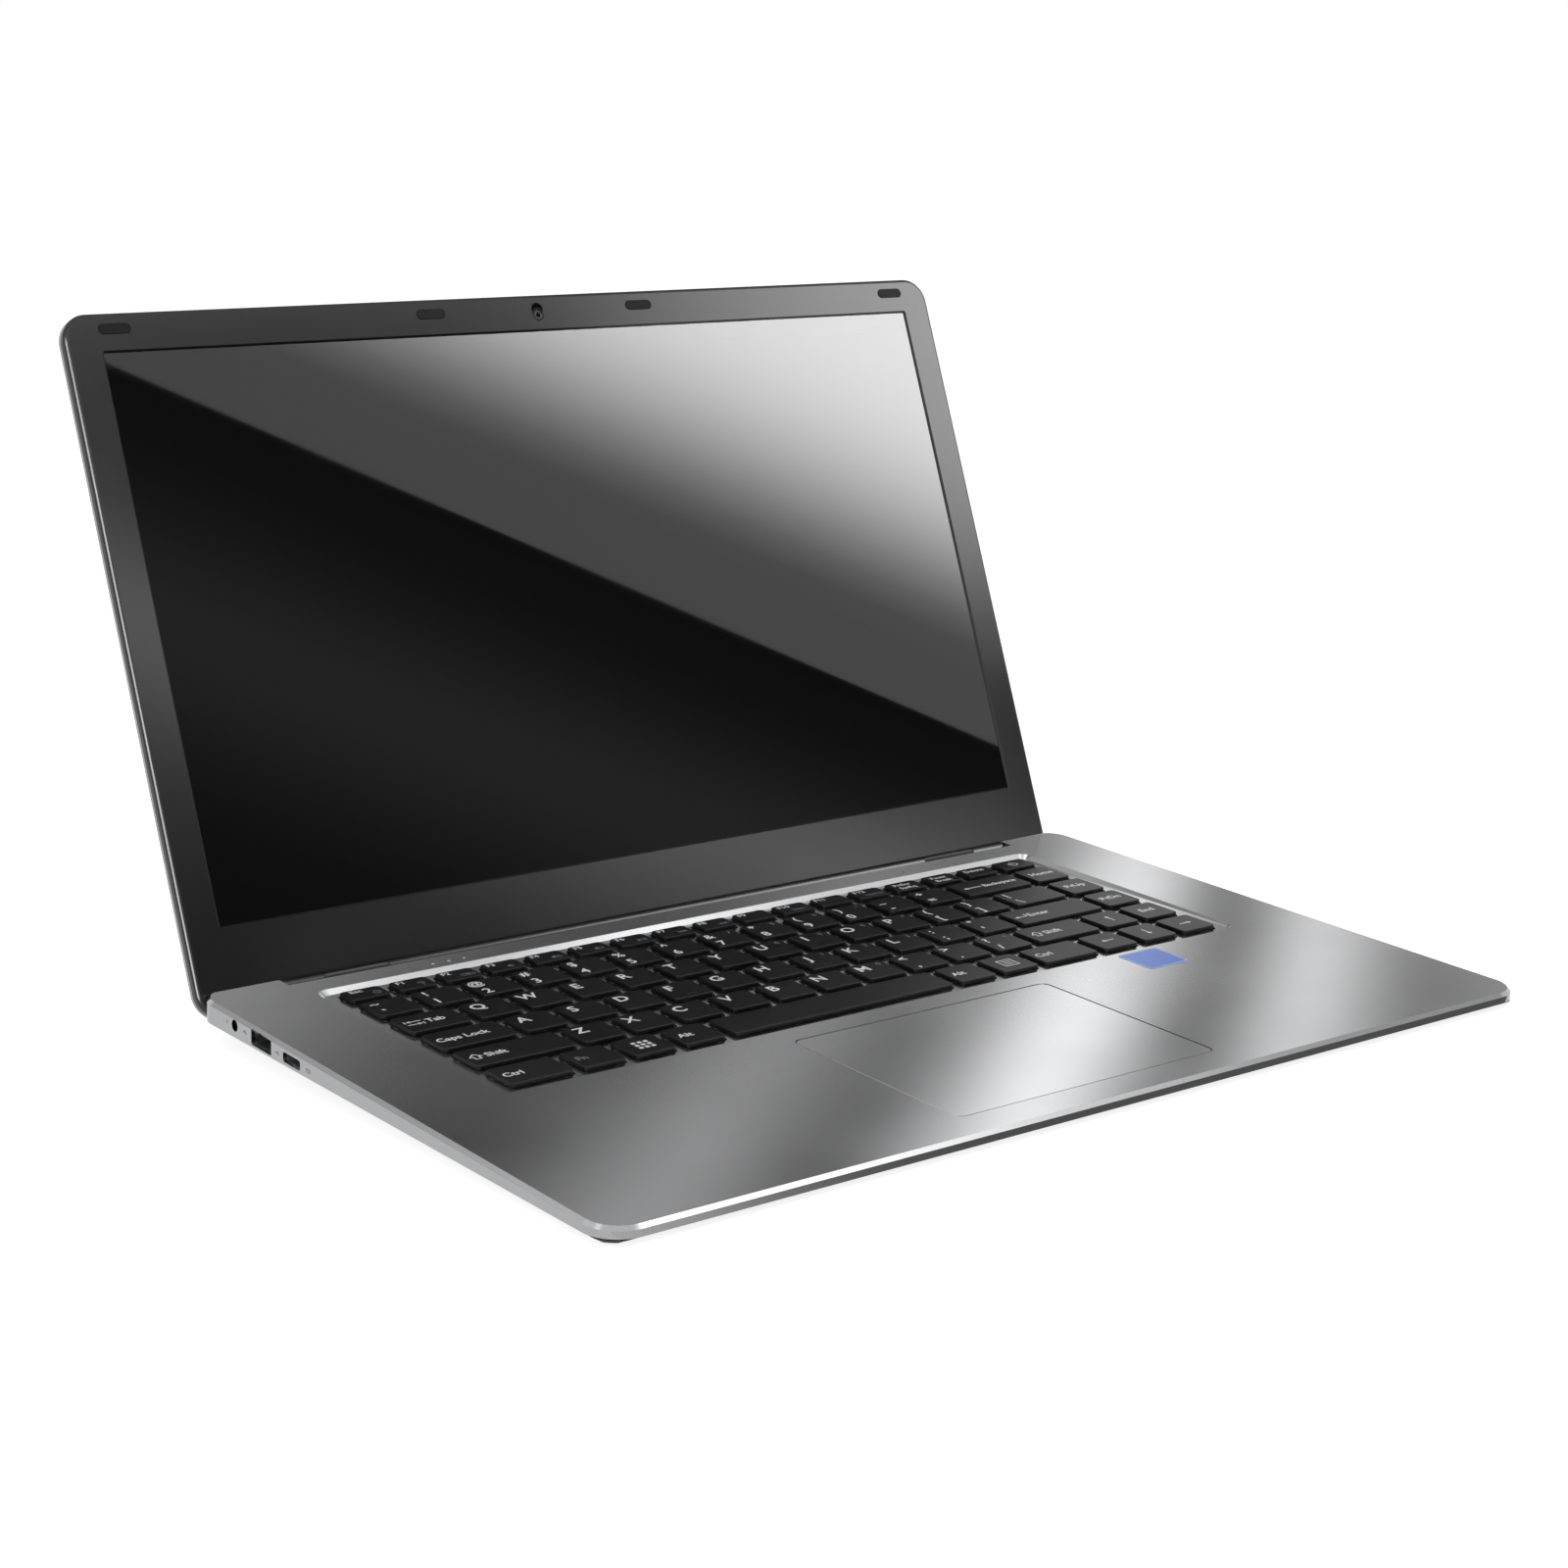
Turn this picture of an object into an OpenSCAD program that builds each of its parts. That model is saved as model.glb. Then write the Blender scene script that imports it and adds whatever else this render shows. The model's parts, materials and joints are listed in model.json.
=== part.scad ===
// Clamshell laptop computer with a 15.6 inch screen, open on a table.
// Everything is built in millimetres. X runs to the right, Y to the rear and Z up.
// The origin is on the table, under the middle of the open computer's outline box.

/* [Base] */
// Width of the base, side to side
base_w = 374.2; // [364:0.2:400]
// Depth of the base, from its front edge to its rounded rear edge
base_d = 237; // [236:0.5:260]
// Radius of the base's corners, seen from above
corner_r = 11.5; // [8:0.5:14]
// Height of the deck's front edge above the table
deck_front_h = 5.6; // [5.6:0.1:9]
// Height of the deck's plane above the table at the rear edge
deck_rear_h = 15.73; // [15:0.01:18]
// Bevel along the deck's edge
deck_bevel = 1.2; // [0.4:0.1:1.6]
// Height of the side band at the front of the base
band_front = 3.5; // [3:0.1:4]
// Height of the side band at the rear of the base
band_rear = 7.6; // [7.4:0.1:8.6]
// Thickness of the deck
deck_t = 1.2; // [0.9:0.1:1.4]
// Thickness of the casing's side walls and floor
shell_t = 1.2; // [0.8:0.1:1.4]
// Slope of the underside's rim, up from the table
belly_slope = 25; // [20:1:40]
// Narrow seam between the upper and the lower casing
seam = 0.3; // [0.1:0.05:0.6]

/* [Hinge] */
// Radius of the base's rounded rear edge, which is centred on the hinge axis
hinge_r = 3.1; // [2.9:0.1:3.5]
// Angle between the deck and the screen as the computer stands open
open_angle = 112.7; // [95:0.1:125]
// Angle that the lid can still lean back from there
lean_back = 25; // [5:1:30]
// Gap between the deck and the closed lid
lid_gap = 0.6; // [0.5:0.05:1]
// Width of the notch for the hinge in the base's rear edge
notch_w = 316; // [290:1:330]
// Distance from the hinge axis to the notch's front wall
notch_reach = 6.3; // [5.6:0.1:7.5]
// Radius of the hinge barrel
barrel_r = 2.9; // [2.5:0.1:3.1]
// Radius of the hinge pins
pin_r = 1.5; // [1.2:0.1:1.7]
// Radial clearance of the hinge pins in their knuckles
pin_clear = 0.05; // [0.02:0.01:0.1]
// Distance from each end of the notch to the middle of its knuckle
knuckle_in = 28; // [22:1:50]
// Length of each knuckle
knuckle_w = 24; // [16:1:30]
// Width of each hinge arm beside its knuckle
arm_w = 6; // [4:0.5:8]
// Side play between the hinge's turning and fixed parts
side_play = 0.4; // [0.3:0.05:0.8]
// Thickness of the hinge's sheet-metal leaves
leaf_t = 1.4; // [1:0.1:1.8]

/* [Lid] */
// Width of the lid
lid_w = 371.4; // [364:0.2:374]
// Distance from the hinge axis to the lid's top edge
lid_top = 232.2; // [229:0.1:236]
// Distance from the hinge axis to the lid's lower edge
lid_drop = 6.1; // [5:0.1:6.6]
// Thickness of the lid
lid_t = 5.2; // [5:0.1:6.5]
// Radius of the lid's corners
lid_corner_r = 9.5; // [6:0.5:12]
// Rounding of the lid's front and rear edges
lid_edge = 1.3; // [0.6:0.1:1.5]
// Thickness of the screen surround's face and the depth of the screen below it
face_t = 0.8; // [0.6:0.1:1]
// Thickness of the lid's rear shell
cover_t = 1; // [0.7:0.1:1.2]
// Height of the rear shell's rim
cover_rim = 2; // [1.6:0.1:2.4]
// Width of the screen opening
screen_w = 345; // [335:0.5:350]
// Height of the screen opening
screen_h = 194.6; // [188:0.2:198]
// Distance from the hinge axis to the screen opening's lower edge
screen_y = 23.9; // [22:0.1:26]
// Bevel around the screen opening
screen_bevel = 0.7; // [0.3:0.1:1]
// How far the display module reaches under its surround
panel_lap = 3.5; // [2:0.5:5]
// Thickness of the display module
panel_t = 3.1; // [2.6:0.1:3.2]
// Distance from the lid's top edge to the camera and the bumpers
camera_drop = 5.6; // [5:0.1:6.5]
// Radius of the camera's window
camera_r = 2.4; // [1.5:0.1:2.8]
// Distance from the middle of the lid to each inner bumper
bumper_x1 = 45; // [30:1:60]
// Distance from the middle of the lid to each outer bumper
bumper_x2 = 167; // [120:1:170]
// Length of each bumper
bumper_w = 11.7; // [8:0.1:14]
// Height of each bumper across its length
bumper_h = 3.6; // [2.5:0.1:4]
// How far each bumper stands out of the surround
bumper_proud = 0.3; // [0.1:0.05:0.35]

/* [Keyboard] */
// Spacing of the keys in both directions
key_pitch = 19.05; // [18.6:0.05:19.2]
// Size of a standard key's top
key_cap = 15.4; // [14.5:0.1:16.2]
// Depth of the keys in the short rear row
short_cap = 9.5; // [8:0.1:12]
// Width of the backspace key
backspace_w = 30.2; // [24:0.1:36]
// Width of the escape key
esc_w = 14.6; // [13:0.1:18]
// Width of the tab key
tab_w = 21.9; // [19:0.1:24]
// Width of the caps lock key
caps_w = 26.9; // [25:0.1:30]
// Width of the left shift key
shift_w = 36.2; // [32:0.1:39]
// Width of the left control key
ctrl_w = 22.8; // [19:0.1:28]
// Width of the right control key
right_ctrl_w = 24; // [19:0.1:28]
// Corner radius of the keys
key_r = 1.6; // [1:0.1:2.5]
// Bevel around each key's top
key_bevel = 0.3; // [0.1:0.05:0.5]
// Height of the key tops above the keyboard's floor
key_rise = 1.45; // [1.2:0.05:1.6]
// Depth of the key skirts below the keyboard's floor
key_skirt = 0.2; // [0.1:0.05:0.4]
// Wall thickness of the keys
key_wall = 0.8; // [0.6:0.1:1]
// How far a key goes down
key_travel = 1.4; // [1:0.1:1.6]
// Gap between each key and its opening in the floor
key_gap = 0.6; // [0.4:0.05:0.8]
// Distance from the keyboard well to the hinge's notch
well_rear_deck = 10.35; // [9:0.05:14]
// Distance from the well's front edge to the keys
well_front_margin = 3.8; // [3:0.1:5]
// Distance from the keys to the well's rear edge
well_rear_margin = 5.2; // [4:0.1:6]
// Distance from the keys to the well's side edges
well_side_margin = 6.5; // [4:0.1:8]
// Depth of the keyboard well at its front edge
well_front = 0.6; // [0.5:0.05:0.8]
// Depth of the keyboard well at its rear edge
well_rear = 1.5; // [1.2:0.05:1.7]
// Corner radius of the keyboard well
well_r = 5; // [3:0.5:8]
// Slope of the well's walls
well_slope = 36; // [30:1:60]
// Thickness of the well's floor
floor_t = 0.8; // [0.6:0.1:1]
// Thickness of the sheet with the rubber domes
sheet_t = 0.2; // [0.15:0.05:0.3]
// Thickness of the plate that carries the keyboard
plate_t = 0.5; // [0.4:0.05:0.8]

/* [Touchpad] */
// Width of the touchpad
pad_w = 106.5; // [90:0.5:130]
// Distance from the touchpad to the keyboard well
pad_rear_deck = 10; // [6:0.5:20]
// Distance from the front of the base to the touchpad
pad_y = 13.7; // [12:0.1:18]
// Corner radius of the touchpad
pad_r = 3; // [1:0.5:6]
// Thickness of the touchpad
pad_t = 1; // [0.8:0.1:1.2]
// Gap around the touchpad
pad_gap = 0.3; // [0.25:0.05:0.6]
// How far the touchpad's surface lies below the deck
pad_sink = 0.1; // [0.05:0.05:0.3]
// How far the touchpad goes down
pad_click = 0.3; // [0.2:0.05:0.4]

/* [Ports] */
// Depth of the USB sockets' mouths below the deck, to their middle
port_z = 3.5; // [3.4:0.05:3.8]
// Width of a USB socket's mouth
usb_w = 13.1; // [12.5:0.1:14]
// Height of a USB socket's mouth
usb_h = 5.1; // [4.8:0.1:5.2]
// Length of a USB socket
usb_l = 14; // [12:0.5:17]
// Distance from the rear of the base to the USB sockets
usb_y = 45.1; // [44:0.1:49]
// Width of the video socket's mouth
hdmi_w = 10.9; // [10.5:0.1:11.5]
// Height of the video socket's mouth
hdmi_h = 3.3; // [3:0.1:3.6]
// Length of the video socket
hdmi_l = 8; // [6:0.5:10]
// Distance from the rear of the base to the video socket
hdmi_y = 64.8; // [63:0.1:69]
// Distance from the rear of the base to the power socket
power_y = 27.5; // [25:0.1:30]
// Radius of the power socket's bore
power_r = 1.8; // [1.75:0.05:2]
// Length of the power socket's bore
power_l = 9; // [7:0.5:11]
// Distance from the rear of the base to the audio socket
audio_y = 30; // [25:0.5:32]
// Radius of the audio socket's bore
audio_r = 1.8; // [1.75:0.05:2]
// Length of the audio socket's bore
audio_l = 14; // [12:0.5:16]
// Distance from the rear of the base to the memory card slot
card_y = 67; // [64:0.5:71]
// Width of the memory card slot
card_w = 12; // [11.5:0.1:13]
// Height of the memory card slot
card_h = 1.6; // [1.2:0.1:2]

/* [Inside and underside] */
// Thickness of the circuit boards
board_t = 1; // [0.8:0.1:1.4]
// Depth of the main board's upper face below the deck
board_z = 6.3; // [6.2:0.1:6.4]
// Thickness of the battery
battery_t = 3.4; // [2.5:0.1:3.5]
// Depth of each battery cell, front to rear
battery_d = 50; // [30:1:50]
// Width of each battery cell
battery_w = 104; // [60:1:108]
// Distance from the front of the base to the battery
battery_y = 66; // [64:0.5:70]
// Width of each processor and memory package
chip_w = 24; // [10:1:30]
// Depth of each processor and memory package
chip_d = 20; // [10:1:24]
// Height of the packages
chip_h = 0.7; // [0.5:0.05:0.8]
// Width of the heat spreader
spreader_w = 90; // [60:1:110]
// Depth of the heat spreader
spreader_d = 34; // [24:1:40]
// Length of the memory drive card
ssd_w = 80; // [42:1:90]
// Length of the wireless card
wifi_w = 30; // [20:1:34]
// Width of both cards
card_d = 22; // [18:1:24]
// Width of the right side's small board
io_w = 36; // [24:1:40]
// Depth of the right side's small board
io_d = 54; // [50:1:60]
// Width of each speaker
speaker_w = 56; // [30:1:60]
// Depth of each speaker
speaker_d = 30; // [16:1:32]
// Thickness of the speakers
speaker_t = 2.6; // [1.8:0.1:2.7]
// Distance from the front of the base to the speakers
speaker_y = 32; // [28:1:34]
// Radius of the rubber feet
foot_r = 6; // [4:0.5:9]
// Height of the rubber feet
foot_h = 1.2; // [1:0.1:1.4]
// Depth of the seats that the feet are glued into
foot_seat = 0.4; // [0.2:0.1:0.6]
// Radius of the bottom screws' heads
screw_head_r = 1.9; // [1.5:0.1:2.4]
// Radius of the bottom screws' shanks
screw_r = 0.9; // [0.7:0.1:1.2]

/* [Hidden] */
$fn = 48;

// A little more than touching, so that cuts pass right through
cut = 1;

// Slope of the deck, down to the front
deck_tilt = asin((deck_rear_h - deck_front_h) / base_d);

// Hinge axis in the deck's own frame, and the lid's lean at rest and at its stop
hinge_y = base_d - hinge_r;
lean = open_angle - 90;
lean_max = lean + lean_back;
notch_y = hinge_y - notch_reach;

// Lid planes, measured back from the hinge axis across the lid
face_b = lid_gap + hinge_r;
back_b = face_b + lid_t;
shell_b = back_b - cover_t;
rim_b = back_b - cover_rim;
screen_b = face_b + face_t;
lid_h = lid_top + lid_drop;
camera_q = lid_top - camera_drop;

// A point of the deck's own frame, given as [y, z], in the frame of the table
function table(p) = [p[0] * cos(deck_tilt) - p[1] * sin(deck_tilt),
  deck_front_h + p[0] * sin(deck_tilt) + p[1] * cos(deck_tilt)];

// Where the side band ends under the rear edge, along the lid's face at its stop
band_rear_y = hinge_y + hinge_r * cos(lean_max)
  - (band_rear - hinge_r - hinge_r * sin(lean_max)) * tan(lean_max);
band_angle = atan((band_rear - band_front) / band_rear_y);

// Middle of the open computer's outline box, front to rear
lean_world = lean - deck_tilt;
front_y = table([0, -deck_bevel])[0];
rear_y = table([hinge_y, -hinge_r])[0] + back_b * cos(lean_world)
  + (lid_top - lid_edge) * sin(lean_world);
origin_y = (front_y + rear_y) / 2;

// Keyboard frame: rows are counted from the short rear row, 0, to the front row, 5
key_space = key_pitch - key_cap;
keys_w = 13 * key_pitch + backspace_w + key_space + key_cap;
keys_d = 5 * key_pitch + short_cap;
well_d = well_front_margin + keys_d + well_rear_margin;
well_w = keys_w + 2 * well_side_margin;
well_y = notch_y - well_rear_deck - well_d;
key_tilt = atan((well_rear - well_front) / well_d);
well_wall = 1.5;
plate_z = key_skirt + key_travel + 0.4 + sheet_t;
key_left = -keys_w / 2;
key_column = keys_w / 2 - key_cap;
main_right = key_column - key_space;
short_pitch = (main_right - key_left - esc_w) / 15;
function row_y(row) = well_front_margin + (5 - row) * key_pitch;
function row_d(row) = row == 0 ? short_cap : key_cap;
function run(left, row, count) = [for (i = [0 : count - 1]) [left + i * key_pitch, row, key_cap]];
function fill(left, row) = [left, row, main_right - left];
ctrl_x = main_right - 2 * key_pitch - right_ctrl_w;
space_x = key_left + ctrl_w + key_space + 3 * key_pitch;

// Each key is [left edge, row, width]
esc = [key_left, 0, esc_w];
functions = [for (i = [0 : 14])
  [key_left + esc_w + key_space + i * short_pitch, 0, short_pitch - key_space]];
power = [key_column, 0, key_cap];
numbers = run(key_left, 1, 13);
backspace = fill(key_left + 13 * key_pitch, 1);
home = [key_column, 1, key_cap];
tab = [key_left, 2, tab_w];
q_row = run(key_left + tab_w + key_space, 2, 12);
backslash = fill(key_left + tab_w + key_space + 12 * key_pitch, 2);
page_up = [key_column, 2, key_cap];
caps_lock = [key_left, 3, caps_w];
a_row = run(key_left + caps_w + key_space, 3, 11);
enter = fill(key_left + caps_w + key_space + 11 * key_pitch, 3);
page_down = [key_column, 3, key_cap];
left_shift = [key_left, 4, shift_w];
z_row = run(key_left + shift_w + key_space, 4, 10);
right_shift_x = key_left + shift_w + key_space + 10 * key_pitch;
right_shift = [right_shift_x, 4, main_right - key_pitch - right_shift_x];
up = [main_right - key_cap, 4, key_cap];
end = [key_column, 4, key_cap];
left_ctrl = [key_left, 5, ctrl_w];
left_group = run(key_left + ctrl_w + key_space, 5, 3);
right_group = run(ctrl_x - 2 * key_pitch, 5, 2);
space = [space_x, 5, ctrl_x - 2 * key_pitch - key_space - space_x];
right_ctrl = [ctrl_x, 5, right_ctrl_w];
arrows = run(main_right - key_cap - key_pitch, 5, 2);
right = [key_column, 5, key_cap];
all_keys = concat([esc], functions, [power], numbers, [backspace, home, tab], q_row,
  [backslash, page_up, caps_lock], a_row, [enter, page_down, left_shift], z_row,
  [right_shift, up, end, left_ctrl], left_group, [space], right_group, [right_ctrl],
  arrows, [right]);

knuckle_x = notch_w / 2 - knuckle_in;
function arm_x(s, e) = s * knuckle_x + e * (knuckle_w / 2 + side_play + arm_w / 2);

pad_d = well_y - pad_rear_deck - pad_y;

// Rooms inside the base, and the places of the feet and the screws
inner_z = foot_h + shell_t;
side_x = base_w / 2;
wall_x = side_x - shell_t;
foot_x = side_x - 37;
foot_ys = [4 * foot_r, base_d - 29];
outer_screw = (side_x + well_w / 2) / 2;
inner_screw = pad_w / 2 + 8.75;
rear_screw = notch_y - 5.1;
screw_at = [for (s = [-1, 1], p = [[outer_screw, 22], [inner_screw, 22], [outer_screw, base_d / 2],
  [outer_screw, rear_screw], [inner_screw, rear_screw]]) [s * p[0], p[1]]];
post_r = 2.2;
head_h = 0.5;
shank_l = 3;
board_y = battery_y + battery_d + 6;
board_rear = notch_y - 15.6;
board_d = board_rear - board_y;
board_left = side_x - 29;
bracket_z = pad_sink + pad_t + pad_click + 0.35;
bracket_y = notch_y - 8.1;
spreader_y = board_rear - 20 - spreader_d;
spreader_x = 12;
spreader_t = 0.8;

// Side openings and what sits behind them
port_fit = 0.1;
port_wall = 0.25;
port_x = wall_x - port_fit;
light_xs = [-107, -100.7, -94.7];
light_y = notch_y - 6;
mic = [98.1, notch_y - 6.3];
side_light = [power_y - 6.9, 3.2];
jack_z = 3.15;
audio_z = 3.6;
card_z = 4.2;
hdmi_z = 3.85;
jack_w = 6.4;
jack_top = 1.85;
card_l = 16;

// Colours
silver = "#8f9093";
dark = "#1c1c1f";
black = "#0d0d0f";
steel = "#b9bcc0";
green = "#1d5b3a";

module world() translate([0, -origin_y, 0]) children();

module on_deck() world() translate([0, 0, deck_front_h]) rotate([deck_tilt, 0, 0]) children();

module on_keys() on_deck() translate([0, well_y, -well_front]) rotate([-key_tilt, 0, 0]) children();

// In the lid's frame Z runs up the lid and Y runs back through it, from the hinge axis
module on_lid() on_deck() translate([0, hinge_y, -hinge_r]) rotate([-lean, 0, 0]) children();

// Extrudes an outline drawn in Y and Z along X, over the middle
module along_x(length) rotate([90, 0, 90]) linear_extrude(length, center = true) children();

// Rectangle with round corners: middle at x = 0, front edge at y = 0
module plan(w, d, r) {
  translate([-w / 2 + r, 0]) square([w - 2 * r, d]);
  translate([-w / 2, r]) square([w, d - 2 * r]);
  for (x = [-w / 2 + r, w / 2 - r], y = [r, d - r])
    translate([x, y]) circle(r);
}

// Plate with round corners and a bevelled upper edge, its top at z = 0
module slab(w, d, t, r, bevel_in, bevel_down) {
  translate([0, 0, -t]) linear_extrude(t - bevel_down) plan(w, d, r);
  for (x = [-w / 2 + r, w / 2 - r], y = [r, d - r])
    translate([x, y, -bevel_down]) cylinder(h = bevel_down, r1 = r, r2 = r - bevel_in);
  translate([0, d - r, 0]) rotate([90, 0, 0]) linear_extrude(d - 2 * r)
    polygon([[-w / 2, -bevel_down], [-w / 2 + bevel_in, 0], [w / 2 - bevel_in, 0], [w / 2, -bevel_down]]);
  along_x(w - 2 * r)
    polygon([[0, -bevel_down], [bevel_in, 0], [d - bevel_in, 0], [d, -bevel_down]]);
}

// The base seen from the side, down to the lower edge of its side band
module band_profile() {
  band_slope = (band_rear - band_front) / band_rear_y;
  near = hinge_r - 0.02;
  polygon([[-cut, cut], [hinge_y - 0.3, cut], [hinge_y - 0.3, -hinge_r],
    [hinge_y + near * cos(lean_max), -hinge_r - near * sin(lean_max)],
    [band_rear_y, -band_rear], [-cut, -band_front + cut * band_slope]]);
}

module notch_cut() translate([-notch_w / 2, notch_y, -30]) cube([notch_w, 30, 40]);

// The side band's lower edge as a plane: in its frame the underside lies below z = 0
module on_band() on_deck() translate([0, 0, -band_front]) rotate([-band_angle, 0, 0]) children();

// The recess for the keys, with sloping walls down to its tilted floor
module well_recess() {
  depth = well_rear + 0.1;
  inset = depth / tan(well_slope);
  intersection() {
    translate([0, well_y, -depth]) mirror([0, 0, 1])
      slab(well_w, well_d, depth + cut, well_r, inset, depth);
    translate([-well_w, well_y - cut, -well_front]) rotate([-key_tilt, 0, 0])
      cube([2 * well_w, well_d + 3 * cut, 5]);
  }
}

// Room under the deck, around the keyboard's tub
module deck_room() difference() {
  translate([0, shell_t, -20]) linear_extrude(20 - deck_t)
    plan(base_w - 2 * shell_t, notch_y - 2 * shell_t, corner_r - shell_t);
  translate([0, well_y, -well_front]) rotate([-key_tilt, 0, 0])
    translate([-well_w / 2 - well_wall, -well_wall, -floor_t])
      cube([well_w + 2 * well_wall, well_d + 2 * well_wall, 10]);
  for (p = screw_at)
    translate([p[0], p[1], -20]) cylinder(h = 20, r = post_r);
}

// Places its children at a side opening, at a distance from the rear edge and below the
// deck: x = 0 on the casing's outer face, X pointing out
module at_side(s, back, z) translate([s * side_x, base_d - back, -z]) rotate([0, 0, s > 0 ? 0 : 180]) children();

// Rectangle with round corners in Y and Z, pushed along X from x0 to x1
module side_plug(w, h, r, x0, x1) translate([x0, 0, 0]) rotate([90, 0, 90])
  linear_extrude(x1 - x0) translate([0, -h / 2]) plan(w, h, r);

module side_bore(r, x0, x1) translate([x0, 0, 0]) rotate([0, 90, 0]) cylinder(h = x1 - x0, r = r);

// Rooms for the sockets under the deck, clear of the keyboard
module socket_room(s, y, z, w, low, high, length) at_side(s, y, z)
  translate([-shell_t - length - 0.4, -w / 2 - 0.3, -low - 0.3])
    cube([length + 0.4, w + 0.6, low + high + 0.6]);

module socket_rooms() {
  for (s = [-1, 1])
    socket_room(s, usb_y, port_z, usb_w + 2 * port_wall, usb_h / 2 + port_wall, usb_h / 2 + port_wall, usb_l);
  socket_room(-1, power_y, jack_z, jack_w, 2.8, jack_top, power_l + 1.5);
  socket_room(-1, hdmi_y, hdmi_z, hdmi_w + 0.5, hdmi_h / 2 + 0.3, hdmi_h / 2 + 0.3, hdmi_l);
  socket_room(1, audio_y, audio_z, jack_w, 2.6, jack_top + 0.4, audio_l + 1.5);
  socket_room(1, card_y, card_z, card_w + 1.4, card_h / 2 + 0.4, card_h / 2 + 0.4, card_l);
}

module top_case() color(silver) difference() {
  on_deck() difference() {
    intersection() {
      slab(base_w, base_d + 0.5, 12, corner_r, deck_bevel, deck_bevel);
      union() {
        along_x(base_w + 2 * cut) band_profile();
        translate([-base_w / 2 - cut, hinge_y, -hinge_r]) rotate([0, 90, 0])
          cylinder(h = base_w + 2 * cut, r = hinge_r);
      }
    }
    deck_room();
    notch_cut();
    well_recess();
    translate([0, pad_y - pad_gap, -5]) linear_extrude(10)
      plan(pad_w + 2 * pad_gap, pad_d + 2 * pad_gap, pad_r + pad_gap);
    for (s = [-1, 1])
      translate([s * knuckle_x - knuckle_w / 2 - side_play, notch_y - 4, -hinge_r - leaf_t / 2 - side_play])
        cube([knuckle_w + 2 * side_play, 8, leaf_t + 2 * side_play]);
    for (x = light_xs)
      translate([x, light_y, -4]) cylinder(h = 8, r = 0.6 + pin_clear);
    translate([mic[0], mic[1], -4]) cylinder(h = 8, r = 0.5);
    socket_rooms();
    at_side(-1, power_y, jack_z) side_bore(power_r + 0.15, -5, 1);
    at_side(-1, side_light[0], side_light[1]) side_bore(0.5 + pin_clear, -5, 1);
    at_side(-1, hdmi_y, hdmi_z) side_plug(hdmi_w, hdmi_h, 1, -5, 1);
    at_side(1, audio_y, audio_z) side_bore(audio_r + 0.15, -5, 1);
    at_side(1, card_y, card_z) side_plug(card_w, card_h, 0.4, -5, 1);
    for (s = [-1, 1])
      at_side(s, usb_y, port_z) side_plug(usb_w, usb_h, 0.5, -5, 1);
  }
  on_keys() translate([0, 0, -3]) linear_extrude(6)
    for (k = all_keys)
      translate([k[0] + k[2] / 2, row_y(k[1]) - key_gap])
        plan(k[2] + 2 * key_gap, row_d(k[1]) + 2 * key_gap, key_r + key_gap);
  world() for (p = screw_at)
    translate([p[0], p[1], foot_h]) cylinder(h = head_h + 0.1 + shank_l, r = screw_r + pin_clear);
}

// Lower casing in the band's frame: a tray with sloping rims, or its room when inset
module underside(inset) {
  run = 1 / tan(belly_slope);
  rim = side_x - inset / sin(belly_slope);
  front = inset / sin(belly_slope);
  rear = band_rear_y - 0.4 - inset;
  top = inset - seam;
  drop = 20;
  intersection() {
    on_deck() translate([0, inset, -30]) linear_extrude(30)
      plan(base_w - 2 * inset, base_d - 2 * inset, corner_r - inset);
    on_band() translate([0, -cut, 0]) rotate([90, 0, 180]) linear_extrude(base_d + 5)
      polygon([[-rim - top * run, top], [rim + top * run, top],
        [rim - drop * run, -drop], [drop * run - rim, -drop]]);
    on_band() along_x(base_w + 10)
      polygon([[front - top * run, top], [rear, top], [rear - 3 * tan(lean_max), top - 3],
        [rear - 12, -drop], [front + drop * run, -drop]]);
    world() translate([-base_w, -cut, foot_h + inset]) cube([2 * base_w, base_d + 10, 30]);
  }
}

module bottom_cover() color(dark) difference() {
  underside(0);
  difference() {
    underside(shell_t);
    on_deck() translate([-notch_w / 2 - shell_t, notch_y - shell_t, -30])
      cube([notch_w + 2 * shell_t, 30, 40]);
  }
  on_deck() notch_cut();
  world() {
    for (x = [-foot_x, foot_x], y = foot_ys)
      translate([x, y, 0]) cylinder(h = foot_h + foot_seat, r = foot_r + 0.05);
    for (p = screw_at) {
      translate([p[0], p[1], foot_h - cut]) cylinder(h = head_h + 0.1 + cut, r = screw_head_r + 0.1);
      translate([p[0], p[1], foot_h - cut]) cylinder(h = 8, r = screw_r + pin_clear);
    }
  }
}

module rubber_feet() color(black) world()
  for (x = [-foot_x, foot_x], y = foot_ys)
    translate([x, y, 0]) {
      cylinder(h = 0.4, r1 = foot_r - 0.4, r2 = foot_r);
      translate([0, 0, 0.4]) cylinder(h = foot_h + foot_seat - 0.4, r = foot_r);
    }

module bottom_screws() color(steel) world()
  for (p = screw_at)
    translate([p[0], p[1], foot_h + 0.1]) {
      cylinder(h = head_h, r = screw_head_r);
      cylinder(h = head_h + shank_l - 0.2, r = screw_r);
    }

// Plate under the keyboard's domes
module keyboard_plate() color(steel) difference() {
  on_keys() translate([0, 0, -plate_z - plate_t]) linear_extrude(plate_t)
    plan(well_w - 1, well_d, 2);
  on_deck() socket_rooms();
}

module dome_sheet() color("#cfd2d4") on_keys() {
  translate([0, 1, -plate_z]) linear_extrude(sheet_t)
    plan(keys_w + 2, well_d - 2, 2);
  for (k = all_keys)
    translate([k[0] + k[2] / 2, row_y(k[1]) + row_d(k[1]) / 2, sheet_t - plate_z])
      cylinder(h = 0.9, r1 = 2.8, r2 = 1.4);
}

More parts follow.
